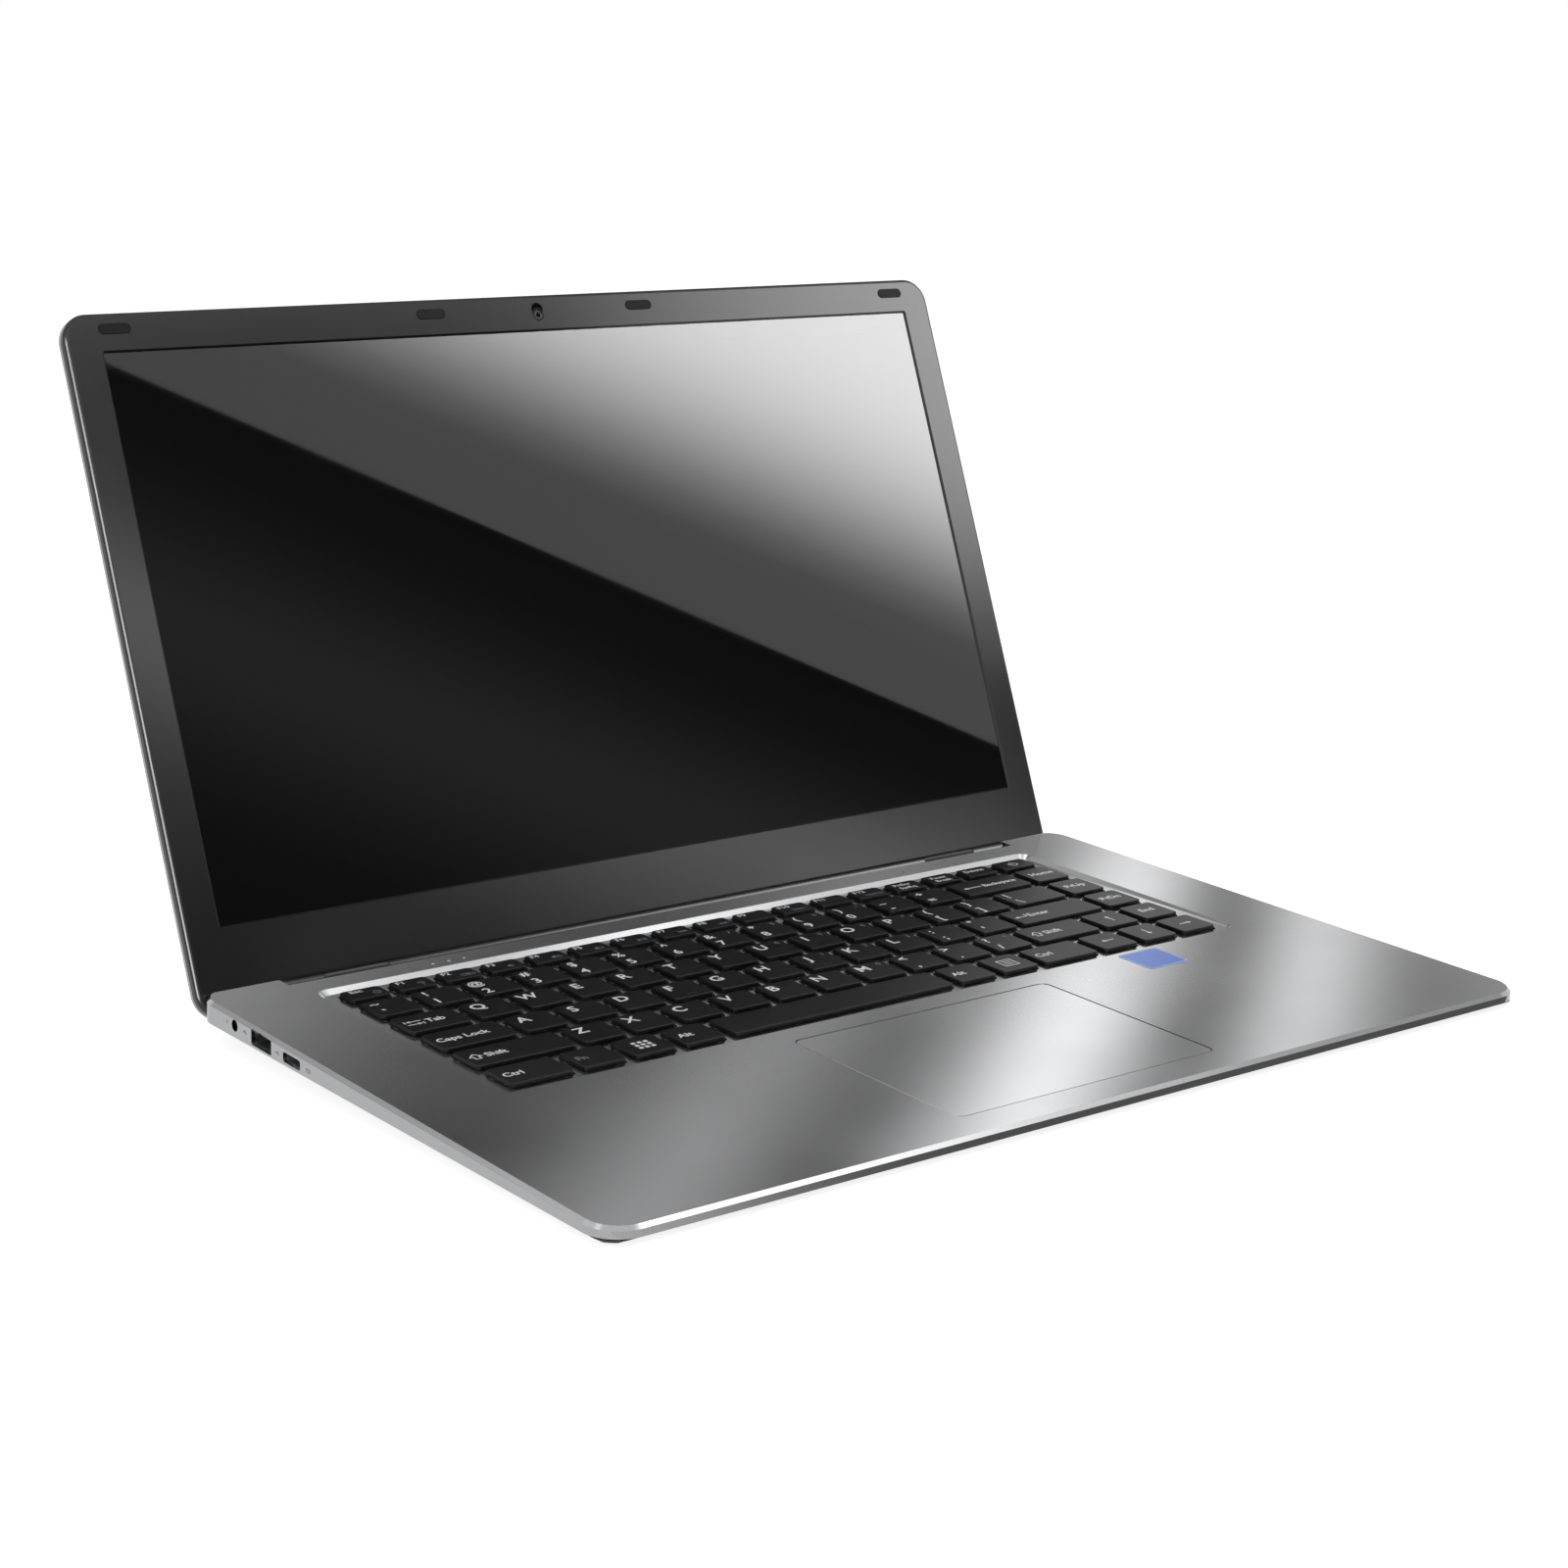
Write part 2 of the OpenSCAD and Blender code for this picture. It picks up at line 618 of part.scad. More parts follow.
module cap(k) translate([k[0] + k[2] / 2, row_y(k[1]), 0]) difference() {
  translate([0, 0, key_rise])
    slab(k[2], row_d(k[1]), key_rise + key_skirt, key_r, key_bevel, key_bevel);
  translate([0, key_wall, -1]) linear_extrude(1 + key_rise - key_wall)
    plan(k[2] - 2 * key_wall, row_d(k[1]) - 2 * key_wall, key_r - key_wall);
}

module caps(keys) color(black) on_keys() for (k = keys) cap(k);

module touchpad() color("#8a8b8e") on_deck() translate([0, pad_y, -pad_sink]) {
  slab(pad_w, pad_d, pad_t, pad_r, 0.15, 0.15);
  translate([0, pad_d - 6, -pad_t - 0.3]) linear_extrude(0.3) plan(pad_w - 20, 4, 1);
}

module touchpad_bracket() color(steel) on_deck() {
  translate([0, pad_y, -bracket_z - 0.5]) linear_extrude(0.5) plan(pad_w + 8, pad_d, 2);
  for (s = [-1, 1])
    translate([s * (pad_w / 2 + 2.5) - 1, pad_y + 4, -bracket_z])
      cube([2, pad_d - 8, bracket_z - deck_t - 0.05]);
}

module battery() color(black) world()
  for (i = [-1 : 1])
    translate([i * (battery_w + 2), battery_y, inner_z + 0.1 + battery_t])
      slab(battery_w, battery_d, battery_t, 2, 0.8, 0.8);

module speakers() color(black) world()
  for (s = [-1, 1])
    translate([s * (side_x - 30 - speaker_w / 2), speaker_y, inner_z + 0.1 + speaker_t])
      slab(speaker_w, speaker_d, speaker_t, 3, 0.5, 0.5);

// Main circuit board with its larger chips
module main_board() color(green) on_deck() {
  translate([0, 0, -board_z - board_t]) linear_extrude(board_t) {
    translate([-board_left, board_y]) square([1.6 * board_left, board_d]);
    translate([-side_x + 8, base_d - hdmi_y - 12])
      square([side_x - 7 - board_left, board_rear - base_d + hdmi_y + 12]);
  }
  for (i = [0, 1])
    translate([spreader_x + (i - 0.75) * 1.6 * chip_w, spreader_y + (spreader_d - chip_d) / 2, -board_z])
      cube([chip_w, chip_d, chip_h]);
}

module heat_spreader() color("#b5764a") on_deck()
  translate([0, 0, chip_h + 0.05 - board_z]) linear_extrude(spreader_t) {
    translate([spreader_x - spreader_w / 2, spreader_y]) square([spreader_w, spreader_d]);
    translate([spreader_x, spreader_y + spreader_d / 3]) square([spreader_w / 2 + 30, spreader_d / 4]);
  }

module card(x, w) translate([x, board_y + 4, -board_z]) {
  translate([0, 0, chip_h]) cube([w, card_d, spreader_t]);
  translate([0, 1, 0.05]) cube([5, card_d - 2, chip_h]);
  for (i = [0 : 2])
    translate([8 + i * (w - 10) / 3, 3, chip_h + spreader_t]) cube([(w - 20) / 3, card_d - 6, 0.4]);
}

module ssd_card() color(green) on_deck() card(-board_left + 4, ssd_w);

module wifi_card() color(green) on_deck() card(-board_left + ssd_w + 10, wifi_w);

module io_board() color(green) on_deck()
  translate([side_x - 8 - io_w, board_rear - io_d, -board_z - board_t]) cube([io_w, io_d, board_t]);

// Stamped metal shell of a socket, open at its mouth
module socket(w, h, r, length) difference() {
  side_plug(w - 2 * port_fit + 2 * port_wall, h - 2 * port_fit + 2 * port_wall, r + port_wall,
    -shell_t - port_fit - length, -shell_t - port_fit);
  side_plug(w - 2 * port_fit, h - 2 * port_fit, r, port_wall - shell_t - port_fit - length, 1);
}

module usb_ports() color(steel) on_deck() for (s = [-1, 1])
  at_side(s, usb_y, port_z) {
    socket(usb_w, usb_h, 0.5, usb_l);
    translate([-shell_t - usb_l + 0.1, -5.5, 0.1]) cube([usb_l - 2, 11, 1.9]);
  }

module hdmi_port() color(steel) on_deck() at_side(-1, hdmi_y, hdmi_z) {
  socket(hdmi_w, hdmi_h, 1, hdmi_l);
  translate([-shell_t - hdmi_l + 0.1, -4, -0.3]) cube([hdmi_l - 1.5, 8, 0.6]);
}

module power_jack() color(black) on_deck() at_side(-1, power_y, jack_z) difference() {
  translate([-shell_t - port_fit - power_l - 1.5, -jack_w / 2, -2.8])
    cube([power_l + 1.5, jack_w, 2.8 + jack_top]);
  side_bore(power_r, -shell_t - port_fit - power_l, 1);
}

module audio_jack() color(black) on_deck() at_side(1, audio_y, audio_z) difference() {
  translate([-shell_t - port_fit - audio_l - 1.5, -jack_w / 2, -2.6])
    cube([audio_l + 1.5, jack_w, 3 + jack_top]);
  side_bore(audio_r, -shell_t - port_fit - audio_l, 1);
}

module card_slot() color(steel) on_deck() at_side(1, card_y, card_z) difference() {
  side_plug(card_w + 1.4, card_h + 0.8, 0.5, -shell_t - card_l, -shell_t - port_fit);
  side_plug(card_w, card_h, 0.3, 0.5 - shell_t - card_l, 1);
}

module status_lights() color("#e8e8e0") on_deck() {
  for (x = light_xs)
    translate([x, light_y, -deck_t - 0.6]) cylinder(h = deck_t + 0.55, r = 0.6);
  at_side(-1, side_light[0], side_light[1]) side_bore(0.5, -shell_t - 1, -0.05);
}

// Fixed halves of the two hinges: a knuckle on a bent leaf
module hinge_brackets() color(black) on_deck() for (s = [-1, 1])
  translate([s * knuckle_x - knuckle_w / 2, 0, 0]) difference() {
    union() {
      translate([0, hinge_y, -hinge_r]) rotate([0, 90, 0]) cylinder(h = knuckle_w, r = barrel_r);
      translate([0, bracket_y, -hinge_r - leaf_t / 2]) cube([knuckle_w, hinge_y - bracket_y, leaf_t]);
      translate([0, bracket_y, -board_z + 0.05]) cube([knuckle_w, leaf_t, board_z - hinge_r]);
      translate([0, bracket_y - 15.5, -board_z + 0.05]) cube([knuckle_w, 16, leaf_t - 0.1]);
    }
    translate([-cut, hinge_y, -hinge_r]) rotate([0, 90, 0])
      cylinder(h = knuckle_w + 2 * cut, r = pin_r + pin_clear);
  }

// Upright plate in the lid's frame, its lower edge at the lid's lower edge.
// Its bevelled face looks forward at b, or backward at b.
module front_plate(w, h, t, r, bevel_in, bevel_down, b) translate([0, b, -lid_drop])
  rotate([90, 0, 0]) slab(w, h, t, r, bevel_in, bevel_down);

module rear_plate(w, h, t, r, bevel_in, bevel_down, b) translate([0, b, -lid_drop])
  rotate([90, 0, 0]) mirror([0, 0, 1]) slab(w, h, t, r, bevel_in, bevel_down);

// Upright bar between two depths b0 and b1
module lid_bar(w, h, r, q, b0, b1) translate([0, b1, q]) rotate([90, 0, 0])
  linear_extrude(b1 - b0) plan(w, h, r);

module screen_bezel() color(black) on_lid() difference() {
  front_plate(lid_w, lid_h, rim_b - 0.05 - face_b, lid_corner_r, lid_edge, lid_edge, face_b);
  translate([0, 0, 1.5]) lid_bar(lid_w - 3, lid_h - 3, lid_corner_r - 1.5, -lid_drop,
    face_b + face_t, back_b);
  lid_bar(screen_w, screen_h, 0.3, screen_y, 0, back_b);
  translate([0, face_b + screen_bevel, screen_y - screen_bevel]) rotate([90, 0, 0])
    mirror([0, 0, 1]) slab(screen_w + 2 * screen_bevel, screen_h + 2 * screen_bevel,
      screen_bevel + cut, screen_bevel + 0.3, screen_bevel, screen_bevel);
  for (s = [-1, 1], e = [-1, 1])
    translate([arm_x(s, e) - arm_w / 2 - 0.1, 0, -leaf_t / 2 - 0.1])
      cube([arm_w + 0.2, back_b, leaf_t + 0.2]);
  translate([0, 0, camera_q]) rotate([-90, 0, 0]) cylinder(h = back_b, r = camera_r + 0.05);
  for (x = [-bumper_x2, -bumper_x1, bumper_x1, bumper_x2])
    translate([x, 0, 0])
      lid_bar(bumper_w + 0.1, bumper_h + 0.1, bumper_h / 2, camera_q - bumper_h / 2 - 0.05,
        face_b - 1, face_b + 0.4);
}

module lid_cover() color(silver) on_lid() difference() {
  rear_plate(lid_w, lid_h, cover_rim, lid_corner_r, lid_edge, lid_edge, back_b);
  translate([0, 0, 1.5]) lid_bar(lid_w - 3, lid_h - 3, lid_corner_r - 1.5, -lid_drop, 0, shell_b);
}

// Display module: bright sheet with its frame and its driver strip below
module display_panel() color("#101216") on_lid() {
  lid_bar(screen_w + 2 * panel_lap, screen_h + 2 * panel_lap, 0.5, screen_y - panel_lap,
    screen_b + 0.02, screen_b + panel_t);
}

module hinge_arms() color(black) on_lid() for (s = [-1, 1]) {
  riser_b = screen_b + 0.3;
  for (e = [-1, 1])
    translate([arm_x(s, e) - arm_w / 2, 0, 0]) {
      rotate([0, 90, 0]) cylinder(h = arm_w, r = barrel_r);
      translate([0, 0, -leaf_t / 2]) cube([arm_w, riser_b + leaf_t, leaf_t]);
      translate([0, riser_b, -leaf_t / 2]) cube([arm_w, leaf_t, 19]);
    }
  translate([s * knuckle_x - knuckle_w / 2 - side_play - arm_w, riser_b, 7])
    cube([knuckle_w + 2 * side_play + 2 * arm_w, leaf_t, 11]);
  translate([s * knuckle_x - knuckle_w / 2 - side_play - 1, 0, 0])
    rotate([0, 90, 0]) cylinder(h = knuckle_w + 2 * side_play + 2, r = pin_r);
}

// Barrel that hides the hinge between and beside the two pairs of arms
module hinge_cover() color(black) on_lid() {
  inner = knuckle_x - knuckle_w / 2 - side_play - arm_w - 0.1;
  outer = knuckle_x + knuckle_w / 2 + side_play + arm_w + 0.1;
  end_x = notch_w / 2 - side_play;
  for (p = [[-end_x, end_x - outer], [-inner, 2 * inner], [outer, end_x - outer]])
    translate([p[0], 0, 0]) {
      rotate([0, 90, 0]) cylinder(h = p[1], r = barrel_r);
      translate([0, 0, -1.2]) cube([p[1], face_b - 0.02, 2.4]);
    }
}

module camera_board() color(green) on_lid() {
  translate([-35, face_b + face_t + 0.15, camera_q - 3]) cube([70, 0.8, 6]);
  translate([-3.5, face_b + face_t + 0.95, camera_q - 3]) cube([7, 1.2, 6]);
}

module camera_lens() color(black) on_lid() translate([0, face_b + face_t, camera_q])
  rotate([90, 0, 0]) cylinder(h = face_t - 0.05, r = camera_r);

module lid_bumpers() color(black) on_lid()
  for (x = [-bumper_x2, -bumper_x1, bumper_x1, bumper_x2])
    translate([x, face_b - bumper_proud, camera_q - bumper_h / 2]) rotate([90, 0, 0])
      slab(bumper_w, bumper_h, bumper_proud + 0.35, bumper_h / 2 - 0.01, 0.15, 0.15);

module function_keys() caps(functions);
module number_keys() caps(numbers);
module q_row_keys() caps(q_row);
module a_row_keys() caps(a_row);
module z_row_keys() caps(z_row);
module esc_key() caps([esc]);
module power_key() caps([power]);
module backspace_key() caps([backspace]);
module home_key() caps([home]);
module tab_key() caps([tab]);
module backslash_key() caps([backslash]);
module page_up_key() caps([page_up]);
module caps_lock_key() caps([caps_lock]);
module enter_key() caps([enter]);
module page_down_key() caps([page_down]);
module left_shift_key() caps([left_shift]);
module right_shift_key() caps([right_shift]);
module up_key() caps([up]);
module end_key() caps([end]);
module left_ctrl_key() caps([left_ctrl]);
module fn_key() caps([left_group[0]]);
module start_key() caps([left_group[1]]);
module left_alt_key() caps([left_group[2]]);
module space_key() caps([space]);
module right_alt_key() caps([right_group[0]]);
module menu_key() caps([right_group[1]]);
module right_ctrl_key() caps([right_ctrl]);
module left_key() caps([arrows[0]]);
module down_key() caps([arrows[1]]);
module right_key() caps([right]);

bottom_cover();
top_case();
keyboard_plate();
dome_sheet();
touchpad_bracket();
battery();
main_board();
heat_spreader();
ssd_card();
wifi_card();
speakers();
power_jack();
usb_ports();
hdmi_port();
audio_jack();
card_slot();
io_board();
rubber_feet();
bottom_screws();
status_lights();
hinge_brackets();
lid_cover();
screen_bezel();
display_panel();
hinge_arms();
hinge_cover();
camera_board();
camera_lens();
lid_bumpers();
touchpad();
function_keys();
number_keys();
q_row_keys();
a_row_keys();
z_row_keys();
esc_key();
power_key();
backspace_key();
home_key();
tab_key();
backslash_key();
page_up_key();
caps_lock_key();
enter_key();
page_down_key();
left_shift_key();
right_shift_key();
up_key();
end_key();
left_ctrl_key();
fn_key();
start_key();
left_alt_key();
space_key();
right_alt_key();
menu_key();
right_ctrl_key();
left_key();
down_key();
right_key();
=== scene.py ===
import json
import math

import bmesh
import bpy
from mathutils import Matrix, Vector


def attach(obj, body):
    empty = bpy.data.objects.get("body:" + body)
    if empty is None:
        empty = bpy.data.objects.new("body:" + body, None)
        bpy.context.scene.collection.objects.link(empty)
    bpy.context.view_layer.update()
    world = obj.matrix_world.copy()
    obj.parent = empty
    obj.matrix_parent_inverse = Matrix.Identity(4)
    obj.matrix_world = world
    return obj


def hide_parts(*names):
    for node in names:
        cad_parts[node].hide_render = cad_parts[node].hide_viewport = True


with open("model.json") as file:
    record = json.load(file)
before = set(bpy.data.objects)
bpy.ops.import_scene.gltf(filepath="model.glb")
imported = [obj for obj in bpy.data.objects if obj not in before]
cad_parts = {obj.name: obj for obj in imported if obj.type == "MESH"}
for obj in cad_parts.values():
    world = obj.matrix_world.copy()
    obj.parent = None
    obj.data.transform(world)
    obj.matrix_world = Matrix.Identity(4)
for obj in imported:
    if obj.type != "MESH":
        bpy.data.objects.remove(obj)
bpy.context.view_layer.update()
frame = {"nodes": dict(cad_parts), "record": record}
nodes = frame["nodes"]
scene = bpy.context.scene

# Sizes in millimetres, the same as in the part's source
BASE_W, BASE_D = 374.2, 237.0
DECK_FRONT_H, DECK_REAR_H = 5.6, 15.73
HINGE_R, OPEN_ANGLE = 3.1, 112.7
NOTCH_REACH = 6.3
LID_GAP, LID_T, LID_W = 0.6, 5.2, 371.4
LID_TOP, LID_DROP, LID_EDGE = 232.2, 6.1, 1.3
FACE_T = 0.8
DECK_BEVEL = 1.2
KEY_PITCH, KEY_CAP, KEYS_W, SHORT_CAP = 19.05, 15.4, 296.9, 9.5
ESC_W, TAB_W, CAPS_W, SHIFT_W, CTRL_W, RIGHT_CTRL_W = 14.6, 21.9, 26.9, 36.2, 22.8, 24.0
KEY_R, KEY_BEVEL, KEY_RISE, KEY_SKIRT, KEY_WALL = 1.6, 0.3, 1.45, 0.2, 0.8
WELL_REAR_DECK, WELL_FRONT_MARGIN, WELL_REAR_MARGIN = 10.35, 3.8, 5.2
WELL_FRONT, WELL_REAR = 0.6, 1.5
PAD_W, PAD_Y, PAD_REAR_DECK, PAD_R = 106.5, 13.7, 10.0, 3.0
PORT_Z, USB_Y = 3.5, 45.1
HDMI_Y, HDMI_Z = 64.8, 3.85
POWER_Y, JACK_Z = 27.5, 3.15

DECK_TILT = math.degrees(math.asin((DECK_REAR_H - DECK_FRONT_H) / BASE_D))
HINGE_Y = BASE_D - HINGE_R
NOTCH_Y = HINGE_Y - NOTCH_REACH
LEAN = OPEN_ANGLE - 90
FACE_B = LID_GAP + HINGE_R
BACK_B = FACE_B + LID_T
WELL_D = WELL_FRONT_MARGIN + 5 * KEY_PITCH + SHORT_CAP + WELL_REAR_MARGIN
WELL_Y = NOTCH_Y - WELL_REAR_DECK - WELL_D
PAD_D = WELL_Y - PAD_REAR_DECK - PAD_Y
KEY_TILT = math.degrees(math.atan((WELL_REAR - WELL_FRONT) / WELL_D))


def turn_x(degrees):
    return Matrix.Rotation(math.radians(degrees), 4, "X")


def shift(x, y, z):
    return Matrix.Translation((x, y, z))


def table(y, z):
    """A point of the deck's frame in the table's frame."""
    tilt = math.radians(DECK_TILT)
    return (y * math.cos(tilt) - z * math.sin(tilt), DECK_FRONT_H + y * math.sin(tilt) + z * math.cos(tilt))


lean_world = math.radians(LEAN - DECK_TILT)
front_y = table(0, -DECK_BEVEL)[0]
rear_y = (
    table(HINGE_Y, -HINGE_R)[0] + BACK_B * math.cos(lean_world) + (LID_TOP - LID_EDGE) * math.sin(lean_world)
)
ORIGIN_Y = (front_y + rear_y) / 2

TABLE = Matrix.Scale(0.001, 4) @ shift(0, -ORIGIN_Y, 0)
ON_DECK = TABLE @ shift(0, 0, DECK_FRONT_H) @ turn_x(DECK_TILT)
ON_KEYS = ON_DECK @ shift(0, WELL_Y, -WELL_FRONT) @ turn_x(-KEY_TILT)
ON_LID = ON_DECK @ shift(0, HINGE_Y, -HINGE_R) @ turn_x(-LEAN)

# ---------------------------------------------------------------- materials


class Shader:
    """Principled material whose colour, roughness and relief vary with noise in the object's own space."""

    def __init__(self, name, colour, roughness, metallic=0.0, ior=1.5, specular=0.5, coat=0.0,
                 coat_roughness=0.1):
        self.material = bpy.data.materials.new(name)
        self.material.use_nodes = True
        self.tree = self.material.node_tree
        self.shader = self.tree.nodes["Principled BSDF"]
        put = self.shader.inputs
        put["Base Color"].default_value = (*colour, 1)
        put["Roughness"].default_value = roughness
        put["Metallic"].default_value = metallic
        put["IOR"].default_value = ior
        put["Specular IOR Level"].default_value = specular
        put["Coat Weight"].default_value = coat
        put["Coat Roughness"].default_value = coat_roughness
        self.coords = self.tree.nodes.new("ShaderNodeTexCoord").outputs["Object"]

    def link(self, a, b):
        self.tree.links.new(a, b)

    def noise(self, scale, detail):
        texture = self.tree.nodes.new("ShaderNodeTexNoise")
        texture.inputs["Scale"].default_value = scale
        texture.inputs["Detail"].default_value = detail
        self.link(self.coords, texture.inputs["Vector"])
        return texture.outputs["Fac"]

    def tint(self, factor, low, high, start=0.35, end=0.65):
        """Colour from low to high as the noise goes from start to end."""
        ramp = self.tree.nodes.new("ShaderNodeValToRGB")
        ramp.color_ramp.elements[0].position = start
        ramp.color_ramp.elements[1].position = end
        ramp.color_ramp.elements[0].color = (*low, 1)
        ramp.color_ramp.elements[1].color = (*high, 1)
        self.link(factor, ramp.inputs["Fac"])
        self.link(ramp.outputs["Color"], self.shader.inputs["Base Color"])
        return self

    def gloss(self, factor, low, high, start=0.35, end=0.65):
        """Roughness from low to high as the noise goes from start to end."""
        span = self.tree.nodes.new("ShaderNodeMapRange")
        span.inputs["From Min"].default_value = start
        span.inputs["From Max"].default_value = end
        span.inputs["To Min"].default_value = low
        span.inputs["To Max"].default_value = high
        self.link(factor, span.inputs["Value"])
        self.link(span.outputs["Result"], self.shader.inputs["Roughness"])
        return self

    def bump(self, factor, depth):
        """Relief of the noise, as deep as depth in metres."""
        node = self.tree.nodes.new("ShaderNodeBump")
        node.inputs["Distance"].default_value = depth
        node.inputs["Strength"].default_value = 1.0
        self.link(factor, node.inputs["Height"])
        self.link(node.outputs["Normal"], self.shader.inputs["Normal"])
        return self


def scaled(colour, k):
    return tuple(c * k for c in colour)


WEAR_SCALE = 14


def grained(name, colour, roughness, grain, depth, spread=0.08, rough_spread=0.05, **more):
    """Moulded or blasted surface: fine grain in its colour, gloss and relief, and soft wear on top."""
    made = Shader(name, colour, roughness, **more)
    fine = made.noise(grain, 2)
    wear = made.noise(WEAR_SCALE, 4)
    made.tint(fine, scaled(colour, 1 - spread), scaled(colour, 1 + spread), 0.3, 0.7)
    made.gloss(wear, roughness - rough_spread, roughness + rough_spread)
    return made.bump(fine, depth)


silver = grained("silver_casing", (0.42, 0.423, 0.43), 0.17, 3800, 1.2e-6, spread=0.10,
                 rough_spread=0.015, metallic=1.0)
pad_silver = grained("touchpad_silver", (0.455, 0.458, 0.465), 0.165, 3400, 8e-7, spread=0.06,
                     rough_spread=0.01, metallic=1.0)
black_casing = grained("black_casing", (0.009, 0.009, 0.0094), 0.22, 2600, 6e-7, spread=0.15,
                       rough_spread=0.02)
underside = grained("underside", (0.05, 0.05, 0.053), 0.55, 1500, 4e-5, spread=0.15)
key_plastic = grained("key_plastic", (0.0055, 0.0055, 0.006), 0.36, 3000, 1.5e-6, spread=0.2, specular=0.4)
screen_glass = grained("screen", (0.004, 0.004, 0.0045), 0.02, 900, 1e-8, spread=0.1, rough_spread=0.004,
                       ior=1.6)
steel = grained("steel", (0.6, 0.61, 0.62), 0.3, 900, 1e-6, metallic=1.0)
dome_rubber = grained("dome_rubber", (0.62, 0.63, 0.64), 0.5, 500, 5e-6)
board = grained("board", (0.03, 0.14, 0.07), 0.45, 700, 8e-6, spread=0.25)
cell = grained("cell", (0.02, 0.02, 0.022), 0.5, 900, 6e-6, spread=0.2)
copper = grained("copper", (0.72, 0.4, 0.26), 0.32, 700, 2e-6, metallic=1.0)
foot_rubber = grained("foot_rubber", (0.005, 0.005, 0.0053), 0.6, 1600, 4e-6, spread=0.2, specular=0.18)
socket_plastic = grained("socket_plastic", (0.014, 0.014, 0.015), 0.4, 1400, 6e-6, spread=0.2)
light_pipe = grained("light_pipe", (0.8, 0.81, 0.8), 0.25, 600, 1e-6)
lens = grained("lens", (0.006, 0.006, 0.009), 0.08, 500, 1e-7, coat=1.0, coat_roughness=0.02)
screw = grained("screw", (0.33, 0.335, 0.345), 0.35, 1500, 4e-6, metallic=1.0)
legend_white = grained("legend_white", (0.78, 0.78, 0.78), 0.5, 2500, 1e-6, spread=0.04)
legend_dim = grained("legend_dim", (0.16, 0.165, 0.18), 0.5, 2500, 1e-6, spread=0.06)
label_blue = grained("label_blue", (0.085, 0.19, 0.66), 0.35, 2200, 2e-6, spread=0.05, coat=0.4)
label_pale = grained("label_pale", (0.33, 0.48, 0.86), 0.3, 2200, 2e-6, spread=0.05)

BY_SLOT = {
    "silver_casing": silver, "black_casing": black_casing, "underside": underside,
    "key_plastic": key_plastic, "pad": pad_silver, "screen": screen_glass, "steel": steel,
    "dome_rubber": dome_rubber, "board": board, "cell": cell, "copper": copper,
    "foot_rubber": foot_rubber, "socket_plastic": socket_plastic, "light_pipe": light_pipe,
    "lens": lens, "screw": screw,
}
for part in frame["record"]["subparts"]:
    node = nodes[part["node"]]
    node.data.materials.clear()
    node.data.materials.append(BY_SLOT[part["material_slot"]].material)

# ---------------------------------------------------------------- mesh building


class Piece:
    """Closed shells drawn in millimetres in one frame, which become one object on a body."""

    def __init__(self, name, body, place, shaders):
        self.name, self.body, self.place, self.shaders = name, body, place, shaders
        self.mesh = bmesh.new()

    def shell(self, rings, paint=0, closed=True):
        """Joins rings of points into a skin, with a face over each end."""
        loops = [[self.mesh.verts.new(p) for p in ring] for ring in rings]
        count = len(loops[0])
        for a, b in zip(loops, loops[1:]):
            for i in range(count):
                j = (i + 1) % count
                self.mesh.faces.new((a[i], a[j], b[j], b[i])).material_index = paint
        if closed:
            self.mesh.faces.new(loops[0][::-1]).material_index = paint
            self.mesh.faces.new(loops[-1]).material_index = paint

    def prism(self, outline, z0, z1, paint=0):
        self.shell([[(x, y, z0) for x, y in outline], [(x, y, z1) for x, y in outline]], paint)

    def line(self, points, width, z0, z1, paint=0, closed=False):
        """A drawn line of one width through the points, as a closed ribbon."""
        pts = [Vector(p) for p in points]
        count = len(pts)
        left, right = [], []
        for i, p in enumerate(pts):
            before = pts[i - 1] if i or closed else None
            after = pts[(i + 1) % count] if i + 1 < count or closed else None
            a = (p - before).normalized() if before is not None else (after - p).normalized()
            b = (after - p).normalized() if after is not None else a
            side = Vector((-a.y - b.y, a.x + b.x))
            side.normalize()
            half = width / 2 / max(0.4, side.dot(Vector((-a.y, a.x))))
            left.append(p + side * half)
            right.append(p - side * half)
        for i in range(count if closed else count - 1):
            j = (i + 1) % count
            self.prism([right[i], right[j], left[j], left[i]], z0, z1, paint)

    def words(self, text, x, y, cap, z0, z1, paint, align="centre", weight=0.006):
        """Lettering of one cap height, its middle height at y; x is its left end or its middle."""
        points, faces = letters(text, weight)
        scale = cap / CAP
        low = min(p[0] for p in points)
        high = max(p[0] for p in points)
        start = x - low * scale
        if align == "centre":
            start = x - (low + high) / 2 * scale
        verts = [
            self.mesh.verts.new((start + p[0] * scale, y - cap / 2 + p[1] * scale, z1 if p[2] > 0 else z0))
            for p in points
        ]
        for face in faces:
            if len(set(face)) > 2:
                self.mesh.faces.new([verts[i] for i in face]).material_index = paint

    def done(self, replaces=(), smooth=33):
        bmesh.ops.remove_doubles(self.mesh, verts=self.mesh.verts, dist=1e-4)
        bmesh.ops.recalc_face_normals(self.mesh, faces=self.mesh.faces)
        self.mesh.transform(self.place)
        data = bpy.data.meshes.new(self.name)
        self.mesh.to_mesh(data)
        self.mesh.free()
        for shader in self.shaders:
            data.materials.append(shader.material)
        data.polygons.foreach_set("use_smooth", [True] * len(data.polygons))
        data.set_sharp_from_angle(angle=math.radians(smooth))
        obj = bpy.data.objects.new(self.name, data)
        scene.collection.objects.link(obj)
        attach(obj, self.body)
        if replaces:
            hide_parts(*replaces)
        return obj


CAP = 0.682  # height of a capital in Blender's own font
_writer = bpy.data.curves.new("writer", "FONT")
_writer.extrude = 0.5
_writer.resolution_u = 3
_writer_object = bpy.data.objects.new("writer", _writer)
scene.collection.objects.link(_writer_object)
_written = {}


